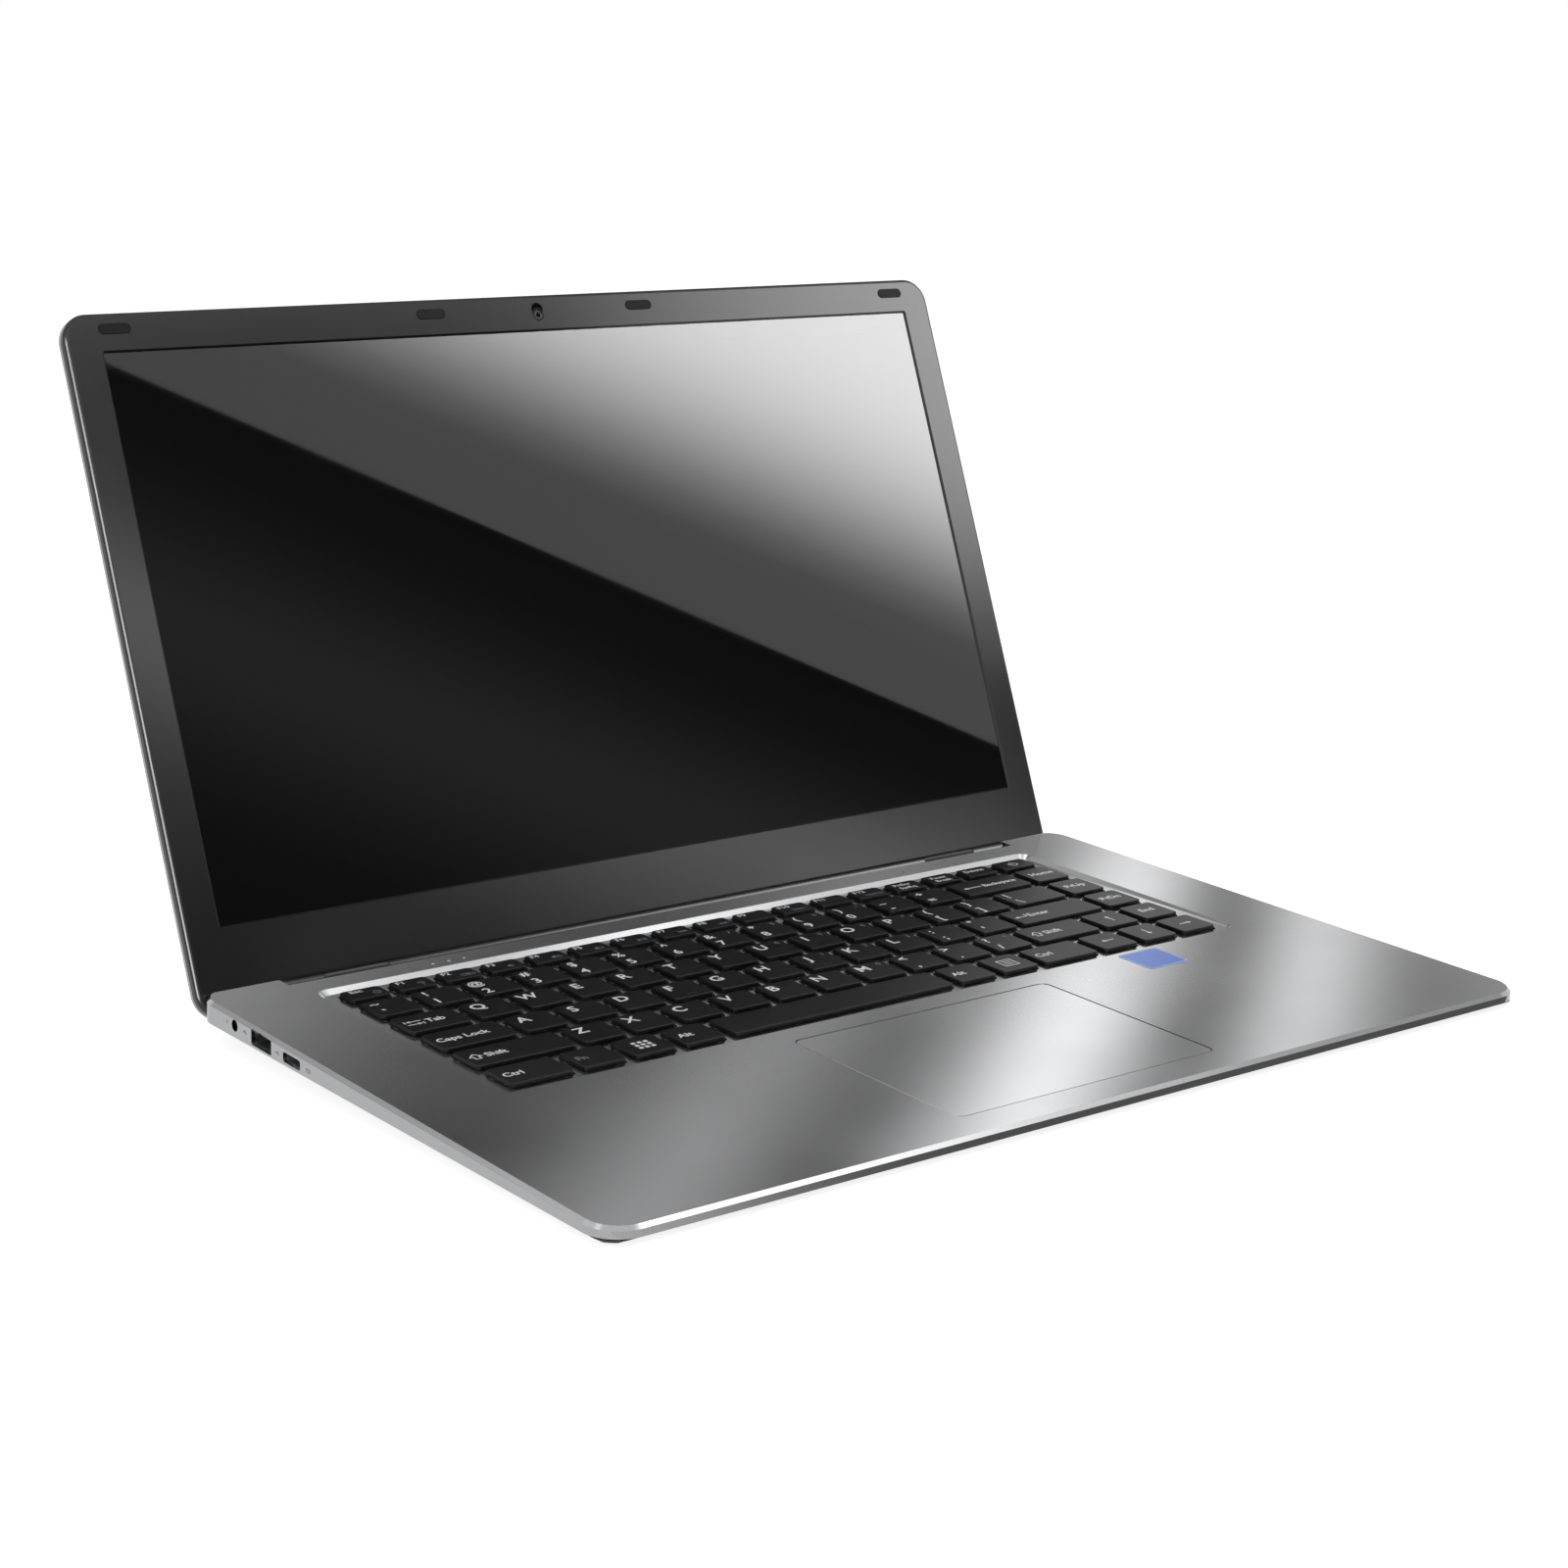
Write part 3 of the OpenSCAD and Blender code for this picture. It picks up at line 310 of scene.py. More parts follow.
def letters(text, weight):
    """Points and faces of a line of text, at the font's own size, one unit thick."""
    if (text, weight) not in _written:
        _writer.body = text
        _writer.offset = weight
        bpy.context.view_layer.update()
        shown = _writer_object.evaluated_get(bpy.context.evaluated_depsgraph_get())
        mesh = bpy.data.meshes.new_from_object(shown)
        _written[text, weight] = (
            [tuple(v.co) for v in mesh.vertices],
            [tuple(f.vertices) for f in mesh.polygons],
        )
        bpy.data.meshes.remove(mesh)
    return _written[text, weight]


def outline(w, d, r, inset=0.0, steps=6):
    """Rectangle with round corners, from (0, 0) to (w, d), drawn in by inset."""
    small = max(r - inset, 0.02)
    back = max(inset - r, 0)
    points = []
    for x, y, start in ((w - r, r, -90), (w - r, d - r, 0), (r, d - r, 90), (r, r, 180)):
        x += -back if x > w / 2 else back
        y += -back if y > d / 2 else back
        for i in range(steps + 1):
            a = math.radians(start + 90 * i / steps)
            points.append((x + small * math.cos(a), y + small * math.sin(a)))
    return points


def square(u, v, half):
    return [(u - half, v - half), (u + half, v - half), (u + half, v + half), (u - half, v + half)]


def arc(x, y, r, start, end, steps):
    return [
        (x + r * math.cos(math.radians(start + (end - start) * i / steps)),
         y + r * math.sin(math.radians(start + (end - start) * i / steps)))
        for i in range(steps + 1)
    ]


# ---------------------------------------------------------------- keys

key_space = KEY_PITCH - KEY_CAP
key_left = -KEYS_W / 2
key_column = KEYS_W / 2 - KEY_CAP
main_right = key_column - key_space
short_pitch = (main_right - key_left - ESC_W) / 15
ctrl_x = main_right - 2 * KEY_PITCH - RIGHT_CTRL_W
space_x = key_left + CTRL_W + key_space + 3 * KEY_PITCH
q_x = key_left + TAB_W + key_space
a_x = key_left + CAPS_W + key_space
z_x = key_left + SHIFT_W + key_space
INK = 0.012
INK_ROOT = 0.05
WHITE, DIM = 1, 2


def run(left, row, count):
    return [(left + i * KEY_PITCH, row, KEY_CAP) for i in range(count)]


def fill(left, row, right=None):
    return [(left, row, (main_right if right is None else right) - left)]


KEYS = {
    "function_keys": [
        (key_left + ESC_W + key_space + i * short_pitch, 0, short_pitch - key_space) for i in range(15)
    ],
    "number_keys": run(key_left, 1, 13),
    "q_row_keys": run(q_x, 2, 12),
    "a_row_keys": run(a_x, 3, 11),
    "z_row_keys": run(z_x, 4, 10),
    "esc_key": [(key_left, 0, ESC_W)],
    "power_key": [(key_column, 0, KEY_CAP)],
    "backspace_key": fill(key_left + 13 * KEY_PITCH, 1),
    "home_key": [(key_column, 1, KEY_CAP)],
    "tab_key": [(key_left, 2, TAB_W)],
    "backslash_key": fill(q_x + 12 * KEY_PITCH, 2),
    "page_up_key": [(key_column, 2, KEY_CAP)],
    "caps_lock_key": [(key_left, 3, CAPS_W)],
    "enter_key": fill(a_x + 11 * KEY_PITCH, 3),
    "page_down_key": [(key_column, 3, KEY_CAP)],
    "left_shift_key": [(key_left, 4, SHIFT_W)],
    "right_shift_key": fill(z_x + 10 * KEY_PITCH, 4, main_right - KEY_PITCH),
    "up_key": [(main_right - KEY_CAP, 4, KEY_CAP)],
    "end_key": [(key_column, 4, KEY_CAP)],
    "left_ctrl_key": [(key_left, 5, CTRL_W)],
    "fn_key": run(key_left + CTRL_W + key_space, 5, 1),
    "start_key": run(key_left + CTRL_W + key_space + KEY_PITCH, 5, 1),
    "left_alt_key": run(key_left + CTRL_W + key_space + 2 * KEY_PITCH, 5, 1),
    "space_key": fill(space_x, 5, ctrl_x - 2 * KEY_PITCH - key_space),
    "right_alt_key": run(ctrl_x - 2 * KEY_PITCH, 5, 1),
    "menu_key": run(ctrl_x - KEY_PITCH, 5, 1),
    "right_ctrl_key": [(ctrl_x, 5, RIGHT_CTRL_W)],
    "left_key": run(main_right - KEY_CAP - KEY_PITCH, 5, 1),
    "down_key": run(main_right - KEY_CAP, 5, 1),
    "right_key": [(key_column, 5, KEY_CAP)],
}


def two(upper, lower, small=None):
    """A key with a shifted sign over its own, and perhaps a small sign at the right."""
    legend = [("text", upper, 3.6, 3.6, 3.9), ("text", lower, 3.6, 11.5, 4.2)]
    return legend + ([("small", small)] if small else [])


def letter(sign, small=None):
    return [("text", sign, 4.5, 4.85, 4.6)] + ([("small", small)] if small else [])


def top_row(name, *more):
    return [("text", name, 3.3, 2.35, 2.4)] + list(more)


LEGENDS = {
    "function_keys": [
        top_row("F1", ("antenna",)), top_row("F2", ("displays",)), top_row("F3", ("speaker", 1)),
        top_row("F4", ("speaker", 3)), top_row("F5", ("mute",)), top_row("F6", ("play",)),
        top_row("F7", ("back",)), top_row("F8", ("forward",)), top_row("F9"),
        [("text", "F10", 4.4, 2.35, 2.4), ("dim", "Insert", 8.4, 6.6, 1.8)], top_row("F11"),
        [("text", "F12", 4.2, 2.35, 2.4), ("dim", "NumLk", 8.2, 6.6, 1.8)],
        [("text", "PrtScr", 6.4, 3.2, 2.1), ("text", "SysRq", 6.4, 6.9, 2.1)],
        [("text", "Pause", 6.4, 3.2, 2.1), ("text", "Break", 6.4, 6.9, 2.1)],
        [("text", "Delete", 6.4, 3.45, 2.3)],
    ],
    "number_keys": [
        two("~", "`"), two("!", "1"), two("@", "2"), two("#", "3"), two("$", "4"), two("%", "5"),
        two("^", "6"), two("&", "7", "7"), two("*", "8", "8"), two("(", "9", "9"),
        two(")", "0", "/"), two("_", "-"), two("+", "="),
    ],
    "q_row_keys": [
        letter("Q"), letter("W"), letter("E"), letter("R"), letter("T"), letter("Y"),
        letter("U", "4"), letter("I", "5"), letter("O", "6"), letter("P", "*"),
        two("{", "["), two("}", "]"),
    ],
    "a_row_keys": [
        letter("A"), letter("S"), letter("D"), letter("F") + [("bar",)], letter("G"), letter("H"),
        letter("J", "1") + [("bar",)], letter("K", "2"), letter("L", "3"),
        two(":", ";", "-"), two('"', "'"),
    ],
    "z_row_keys": [
        letter("Z"), letter("X"), letter("C"), letter("V"), letter("B"), letter("N"),
        letter("M", "0"), two("<", ","), two(">", ".", "."), two("?", "/", "+"),
    ],
    "esc_key": [[("text", "Esc", 5.2, 2.1, 2.4), ("moon",)]],
    "power_key": [[("power",)]],
    "backspace_key": [[("arrow", 7.2, 7.7, -1, 0, 8.6), ("left", "Backspace", 12.3, 7.7, 2.6)]],
    "home_key": [[("left", "Home", 2.6, 7.0, 3.0)]],
    "tab_key": [[("tabs",), ("left", "Tab", 9.2, 7.6, 3.0)]],
    "backslash_key": [[("text", "|", 3.6, 3.6, 3.7), ("text", "\\", 3.9, 11.5, 3.9)]],
    "page_up_key": [[("left", "PgUp", 2.9, 7.0, 3.0)]],
    "caps_lock_key": [[("left", "Caps Lock", 1.7, 7.6, 3.0)]],
    "enter_key": [[("enter",), ("left", "Enter", 8.2, 7.4, 3.0)]],
    "page_down_key": [[("left", "PgDn", 2.9, 7.0, 3.0)]],
    "left_shift_key": [[("shift", 4.15), ("left", "Shift", 7.5, 7.6, 3.0)]],
    "right_shift_key": [[("shift", 4.85), ("left", "Shift", 8.2, 7.6, 3.0)]],
    "up_key": [[("arrow", 7.7, 7.7, 0, 1, 5.6)]],
    "end_key": [[("left", "End", 4.4, 7.0, 3.0)]],
    "left_ctrl_key": [[("left", "Ctrl", 1.9, 7.6, 3.0)]],
    "fn_key": [[("dimleft", "Fn", 1.9, 7.6, 3.0)]],
    "start_key": [[("grid",)]],
    "left_alt_key": [[("left", "Alt", 1.8, 7.6, 3.0)]],
    "space_key": [[]],
    "right_alt_key": [[("left", "Alt", 1.8, 7.6, 3.0)]],
    "menu_key": [[("menu",)]],
    "right_ctrl_key": [[("left", "Ctrl", 1.8, 7.6, 3.0)]],
    "left_key": [[("arrow", 7.7, 7.7, -1, 0, 5.6)]],
    "down_key": [[("arrow", 7.7, 7.7, 0, -1, 5.6)]],
    "right_key": [[("arrow", 7.7, 7.7, 1, 0, 5.6)]],
}


def key_cap(piece, x, y, w, d):
    """Hollow cap with a rounded upper edge, the same height and width as its solid."""
    def ring(inset, z):
        return [(x + u, y + v, z) for u, v in outline(w, d, KEY_R, inset)]

    edge = KEY_BEVEL
    rounding = [
        ring(edge * (1 - math.cos(a)), KEY_RISE - edge * (1 - math.sin(a)))
        for a in (math.radians(t) for t in (0, 22.5, 45, 67.5, 90))
    ]
    piece.shell(
        [ring(KEY_WALL, KEY_RISE - KEY_WALL), ring(KEY_WALL, -KEY_SKIRT), ring(0.06, -KEY_SKIRT),
         ring(0, 0.05 - KEY_SKIRT)]
        + rounding
        + [ring(edge + 0.25, KEY_RISE)]
    )


def draw(piece, item, x, top, w, d):
    """Prints one sign of a legend on a key whose back left corner is at (x, top)."""
    kind = item[0]
    z0, z1 = KEY_RISE - INK_ROOT, KEY_RISE + INK

    def at(u, v):
        return (x + u, top - v)

    def line(points, width, paint=DIM, closed=False):
        piece.line([at(*p) for p in points], width, z0, z1, paint, closed)

    def patch(points, paint=DIM):
        piece.prism([at(*p) for p in points][::-1], z0, z1, paint)

    if kind in ("text", "dim", "left", "dimleft"):
        _, text, u, v, cap = item
        piece.words(
            text, x + u, top - v, cap, z0, z1, DIM if kind.startswith("dim") else WHITE,
            "centre" if kind in ("text", "dim") else "left", weight=0.02 if cap > 2.5 else 0.015,
        )
    elif kind == "small":
        piece.words(item[1], x + 12.5, top - 3.1, 2.4, z0, z1, DIM)
    elif kind == "bar":
        ring = outline(4.0, 0.55, 0.27, 0, 3)
        piece.shell([
            [(x + 5.7 + u, top - 12.8 + v, KEY_RISE - 0.05) for u, v in ring],
            [(x + 5.7 + u, top - 12.8 + v, KEY_RISE + 0.08) for u, v in ring],
            [(x + 5.7 + 2 + (u - 2) * 0.94, top - 12.8 + 0.27 + (v - 0.27) * 0.6, KEY_RISE + 0.14)
             for u, v in ring],
        ])
    elif kind == "arrow":
        _, u, v, du, dv, length = item
        half, wing = length / 2, min(length, 6) * 0.19

        def along(a, b):
            return (x + u + a * du - b * dv, top - v + a * dv + b * du)

        back = half - wing * 1.7
        piece.line([along(-half, 0), along(half - wing * 1.2, 0)], 0.55, z0, z1, WHITE)
        piece.prism([along(half, 0), along(back, wing), along(back, -wing)], z0, z1, WHITE)
    elif kind == "tabs":
        for v, sign in ((6.3, -1), (8.9, 1)):
            tip = 5 + sign * 2.5
            line([(5 - sign * 3, v), (tip - sign * 1.2, v)], 0.45, WHITE)
            patch([(tip, v), (tip - sign * 1.7, v - sign * 0.8), (tip - sign * 1.7, v + sign * 0.8)], WHITE)
            line([(tip + sign * 0.4, v - 1), (tip + sign * 0.4, v + 1)], 0.4, WHITE)
    elif kind == "shift":
        u = item[1]
        line([(u, 5.4), (u + 2.1, 7.6), (u + 1.0, 7.6), (u + 1.0, 9.6), (u - 1.0, 9.6), (u - 1.0, 7.6),
              (u - 2.1, 7.6)], 0.45, WHITE, True)
    elif kind == "enter":
        line([(7.2, 5.6), (7.2, 7.9), (3.2, 7.9)], 0.5, WHITE)
        patch([(1.5, 7.9), (3.6, 8.8), (3.6, 7.0)], WHITE)
    elif kind == "grid":
        for i in range(3):
            for j in range(3):
                u, v = w / 2 - 2.3 + i * 2.3, d / 2 - 2.3 + j * 2.3
                patch(square(u, v, 0.75)[::-1], WHITE)
    elif kind == "menu":
        u, v = w / 2, d / 2
        line(square(u, v, 2.9), 0.45, WHITE, True)
        for step in (-1.4, 0, 1.4):
            line([(u - 1.9, v + step), (u + 1.9, v + step)], 0.4, WHITE)
    elif kind == "power":
        u, v = w / 2, d / 2
        turns = [math.radians(a) for a in range(40, 321, 20)]
        line([(u - 1.75 * math.sin(a), v - 1.75 * math.cos(a)) for a in turns], 0.45, WHITE)
        line([(u, v - 2.3), (u, v - 0.1)], 0.45, WHITE)
    elif kind == "moon":
        line(arc(11.3, 5.9, 1.35, 60, 300, 12), 0.42)
        line([(11.4, 4.9), (12.8, 4.9), (11.4, 6.5), (12.8, 6.5)], 0.3)
    elif kind == "antenna":
        line([(9.8, 7.9), (9.8, 6.0)], 0.4)
        for r in (0.9, 1.8):
            line(arc(9.8, 6.3, r, 210, 330, 8), 0.32)
    elif kind == "displays":
        for u in (8.3, 11.3):
            line([(u - 0.9, 5.2), (u + 0.9, 5.2), (u + 0.9, 7.0), (u - 0.9, 7.0)], 0.3, DIM, True)
        line([(9.8, 4.8), (9.8, 7.6)], 0.28)
    elif kind in ("speaker", "mute"):
        u = 8.9
        horn = ((-1.1, 6.8), (-0.4, 6.8), (0.6, 7.7), (0.6, 4.7), (-0.4, 5.6), (-1.1, 5.6))
        patch([(u + du, v) for du, v in horn])
        if kind == "mute":
            line([(u + 1.2, 5.4), (u + 2.6, 7.0)], 0.3)
            line([(u + 2.6, 5.4), (u + 1.2, 7.0)], 0.3)
        else:
            for i in range(item[1]):
                line(arc(u + 0.6, 6.2, 0.7 + 0.6 * i, -45, 45, 6), 0.28)
    elif kind == "play":
        patch([(8.2, 5.1), (10.0, 6.2), (8.2, 7.3)][::-1])
        for u in (10.7, 11.5):
            line([(u, 5.1), (u, 7.3)], 0.35)
    elif kind in ("back", "forward"):
        sign = -1 if kind == "back" else 1
        for u in (9.9 - sign * 1.5, 9.9 + sign * 0.1):
            shape = [(u, 5.2), (u + sign * 1.5, 6.2), (u, 7.2)]
            patch(shape[::-1] if sign > 0 else shape)
        line([(9.9 + sign * 1.8, 5.1), (9.9 + sign * 1.8, 7.3)], 0.35)


for node, keys in KEYS.items():
    piece = Piece(node + "_caps", node, ON_KEYS, [key_plastic, legend_white, legend_dim])
    for (x, row, w), legend in zip(keys, LEGENDS[node]):
        y = WELL_FRONT_MARGIN + (5 - row) * KEY_PITCH
        d = SHORT_CAP if row == 0 else KEY_CAP
        key_cap(piece, x, y, w, d)
        for item in legend:
            draw(piece, item, x, y + d, w, d)
    piece.done([node])

# ---------------------------------------------------------------- label on the palm rest

LABEL_X, LABEL_Y, LABEL_W, LABEL_D, LABEL_R = 94.2, 84.3, 18.2, 17.2, 1.6
label = Piece("plain_label", "base", ON_DECK, [label_blue, label_pale])
for inset, z0, z1, paint in ((0, 0.0, 0.09, 1), (0.9, 0.05, 0.11, 0)):
    label.prism(
        [(LABEL_X + u, LABEL_Y + v) for u, v in outline(LABEL_W, LABEL_D, LABEL_R, inset)], z0, z1, paint
    )
label.done()

bpy.data.objects.remove(_writer_object)

# ---------------------------------------------------------------- faint marks beside the sockets

# How far paint stands out of a surface and reaches into it, so that it shows without a step
PAINT_RISE, PAINT_ROOT = 0.006, 0.05
MARK_W = 0.22
FACE_X = Matrix(((0, 0, -1, -BASE_W / 2), (-1, 0, 0, 0), (0, 1, 0, 0), (0, 0, 0, 1)))
mark_paint = grained("mark_paint", (0.10, 0.10, 0.105), 0.5, 2500, 1e-6, spread=0.06)
marks = Piece("socket_marks", "base", ON_DECK @ FACE_X, [mark_paint])


def mark(y, z, strokes):
    """Strokes of a small sign centred at y and z on the left side; u runs to the front and v up."""
    for stroke in strokes:
        marks.line([(-y + u, -z + v) for u, v in stroke], MARK_W, -PAINT_ROOT, PAINT_RISE)


BRANCHES = [
    [(-1.5, 0), (1.4, 0)], [(-0.6, 0), (0.1, 0.55), (0.8, 0.55)], [(-0.2, 0), (0.5, -0.55), (1.1, -0.55)],
]
mark(BASE_D - POWER_Y + 5.2, JACK_Z, [[(0.3, 0.9), (-0.4, -0.1), (0.4, 0.1), (-0.3, -0.9)]])
mark(BASE_D - (POWER_Y + USB_Y) / 2 + 2.0, JACK_Z + 0.2, BRANCHES)
mark(BASE_D - (USB_Y + HDMI_Y) / 2 - 0.6, PORT_Z + 0.4, BRANCHES)
mark(BASE_D - HDMI_Y - 10.5, HDMI_Z, [
    [(-1.4, 0.5), (1.4, 0.5), (1.0, -0.5), (-1.0, -0.5), (-1.4, 0.5)], [(-0.7, 0), (0.7, 0)],
])
marks.done()

# ---------------------------------------------------------------- painted shade in the gap round the touchpad

# The outline starts at its front right corner and has seven points at each, so the painted shade runs from
# the front left corner past the front right one to the rear right one
# Painted shade: a near-black strip in the touchpad's gap stands in for its shadow, on the front and right
# sides only
PAD_SHADE_W, PAD_SHADE_CLEAR, PAD_SHADE_DEPTH = 0.3, 0.08, 0.4
pad_gap_painted_shade = Piece("pad_gap_painted_shade", "base", ON_DECK, [key_plastic])
middle = -PAD_SHADE_CLEAR - PAD_SHADE_W / 2
gap_middle = [(u - PAD_W / 2, v + PAD_Y) for u, v in outline(PAD_W, PAD_D, PAD_R, middle)]
pad_gap_painted_shade.line(gap_middle[24:] + gap_middle[:11], PAD_SHADE_W, -PAD_SHADE_DEPTH, PAINT_RISE)
pad_gap_painted_shade.done()

# ---------------------------------------------------------------- edges and camera of the lid

ON_FACE = ON_LID @ shift(0, FACE_B, 0) @ turn_x(90)
LID_H = LID_TOP + LID_DROP
LID_R = 9.5
RIM = 2.0
CAMERA_R, CAMERA_Q = 2.4, 224.75


def around_lid(inset, z):
    return [(u - LID_W / 2, v - LID_DROP, z) for u, v in outline(LID_W, LID_H, LID_R, inset, 10)]


def ring_piece(name, profile, shader):
    """Closed ring round the lid from a profile of (inset, z) points, its first point again at the end."""
    piece = Piece(name, "lid", ON_FACE, [shader])
    piece.shell([around_lid(inset, z) for inset, z in profile + profile[:1]], closed=False)
    return piece.done(smooth=50)


# The frame's edge lies between the casing's flat bevel and a full quarter circle, EDGE_BULGE of the way,
# and EDGE_INSET inside the casing's side, so that no faces of the two lie in one plane
EDGE_BULGE, EDGE_INSET = 0.66, 0.012


def edge_point(turn):
    """Point of the frame's rounded edge as (inset, z), turned by degrees from its face to its side."""
    a, flat = math.radians(turn), (1 - EDGE_BULGE) * turn / 90
    return (
        LID_EDGE * (1 - EDGE_BULGE * math.sin(a) - flat) + EDGE_INSET,
        LID_EDGE * (EDGE_BULGE * math.cos(a) - EDGE_BULGE - flat),
    )


frame_edge = ring_piece(
    "frame_edge",
    [(LID_EDGE + 0.1, 0.01)] + [edge_point(turn) for turn in range(0, 91, 10)] + [(0.5, -LID_EDGE)],
    black_casing,
)
cover_edge = ring_piece(
    "cover_edge",
    [(0.6, RIM - LID_T), (0.0, RIM - LID_T), (0.0, 0.6 - LID_T), (0.12, 0.48 - LID_T), (0.44, 0.36 - LID_T),
     (0.8, 0.18 - LID_T), (1.3, 0.02 - LID_T), (1.4, 0.2 - LID_T)],
    silver,
)

eye_piece = Piece("camera_eye", "lid", ON_FACE, [black_casing, lens])


def round_ring(r, z):
    turns = [2 * math.pi * i / 40 for i in range(40)]
    return [(r * math.cos(a), CAMERA_Q + r * math.sin(a), z) for a in turns]


eye_piece.shell([round_ring(CAMERA_R - inset, z) for inset, z in (
    (0, -0.5), (0, 0.08), (0.12, 0.16), (0.35, 0.16), (0.5, 0.02), (0.55, -0.3), (0, -0.5),
)], closed=False)
eye_piece.shell([round_ring(r, z) for r, z in (
    (1.9, -0.5), (1.88, -0.25), (1.6, -0.05), (1.2, 0.08), (0.8, 0.16), (0.4, 0.2), (0.05, 0.21),
)], 1)
camera_eye = eye_piece.done(smooth=50)


# ---------------------------------------------------------------- floor, light and camera


def paper(name, strength_camera, strength_mirror, diffuse):
    """Pale floor that keeps shadows and looks white to the camera, in mirrors and through glass."""
    material = bpy.data.materials.new(name)
    material.use_nodes = True
    tree = material.node_tree
    tree.nodes.clear()
    out = tree.nodes.new("ShaderNodeOutputMaterial")
    add = tree.nodes.new("ShaderNodeAddShader")
    matt = tree.nodes.new("ShaderNodeBsdfDiffuse")
    glow = tree.nodes.new("ShaderNodeEmission")
    grain = tree.nodes.new("ShaderNodeTexNoise")
    grain.inputs["Scale"].default_value = 300
    ramp = tree.nodes.new("ShaderNodeValToRGB")
    ramp.color_ramp.elements[0].color = (*scaled((1, 1, 1), diffuse * 0.99), 1)
    ramp.color_ramp.elements[1].color = (*scaled((1, 1, 1), diffuse), 1)
    tree.links.new(grain.outputs["Fac"], ramp.inputs["Fac"])
    tree.links.new(ramp.outputs["Color"], matt.inputs["Color"])
    tree.links.new(seen_rays(tree, strength_camera, strength_mirror), glow.inputs["Strength"])
    tree.links.new(matt.outputs["BSDF"], add.inputs[0])
    tree.links.new(glow.outputs["Emission"], add.inputs[1])
    tree.links.new(add.outputs["Shader"], out.inputs["Surface"])
    return material


def seen_rays(tree, camera_strength, mirror_strength, other=0.0):
    """One strength for camera rays, one for mirror and glass rays, and other for the rest."""
    path = tree.nodes.new("ShaderNodeLightPath")
    join = tree.nodes.new("ShaderNodeMath")
    join.operation = "MAXIMUM"
    tree.links.new(path.outputs["Is Glossy Ray"], join.inputs[0])
    tree.links.new(path.outputs["Is Transmission Ray"], join.inputs[1])
    mirror = tree.nodes.new("ShaderNodeMapRange")
    mirror.inputs["To Min"].default_value = other
    mirror.inputs["To Max"].default_value = mirror_strength
    tree.links.new(join.outputs["Value"], mirror.inputs["Value"])
    both = tree.nodes.new("ShaderNodeMapRange")
    both.inputs["To Max"].default_value = camera_strength
    tree.links.new(mirror.outputs["Result"], both.inputs["To Min"])
    tree.links.new(path.outputs["Is Camera Ray"], both.inputs["Value"])
    return both.outputs["Result"]


floor_mesh = bmesh.new()
bmesh.ops.create_grid(floor_mesh, x_segments=8, y_segments=8, size=15)
floor_data = bpy.data.meshes.new("floor")
floor_mesh.to_mesh(floor_data)
floor_mesh.free()
floor = bpy.data.objects.new("floor", floor_data)
floor.location.z = -0.0002  # just under the feet, so that no faces of the two lie in one plane
floor_data.materials.append(paper("floor_paper", 0.84, 0.5, 0.62))
scene.collection.objects.link(floor)
floor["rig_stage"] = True

world = bpy.data.worlds.new("studio")
scene.world = world
world.use_nodes = True
tree = world.node_tree
background = tree.nodes["Background"]
background.inputs["Color"].default_value = (1, 1, 1, 1)
tree.links.new(seen_rays(tree, 1.0, 1.0, 0.45), background.inputs["Strength"])


def area_light(name, place, aim, size, power):
    data = bpy.data.lights.new(name, "AREA")
    data.shape = "RECTANGLE"
    data.size, data.size_y = size
    data.energy = power
    lamp = bpy.data.objects.new(name, data)
    scene.collection.objects.link(lamp)
    lamp.visible_glossy = False
    lamp.location = place
    lamp.rotation_mode = "QUATERNION"
    lamp.rotation_quaternion = (Vector(aim) - Vector(place)).to_track_quat("-Z", "Y")


area_light("softbox_top", (0.1, -0.2, 1.6), (0, 0, 0), (1.6, 1.6), 9)
area_light("softbox_left", (-1.5, -0.9, 0.9), (0, 0, 0.05), (1.0, 1.0), 4)

# The camera as solved from the photograph's straight edges
camera_data = bpy.data.cameras.new("camera")
camera = bpy.data.objects.new("camera", camera_data)
scene.collection.objects.link(camera)
forward = Vector((0.594200, 0.774245, -0.217878)).normalized()
right = Vector((0.793280, -0.608856, 0.0)).normalized()
up = right.cross(forward)
eye = Vector((-0.602307, -0.778680, 0.292822))
camera.matrix_world = Matrix((
    (right.x, up.x, -forward.x, eye.x),
    (right.y, up.y, -forward.y, eye.y),
    (right.z, up.z, -forward.z, eye.z),
    (0, 0, 0, 1),
))
camera_data.lens = 68.672
camera_data.sensor_width = 36
camera_data.clip_start = 0.01
scene.camera = camera
scene.view_settings.view_transform = "Standard"


# ---------------------------------------------------------------- studio panels that only mirrors see


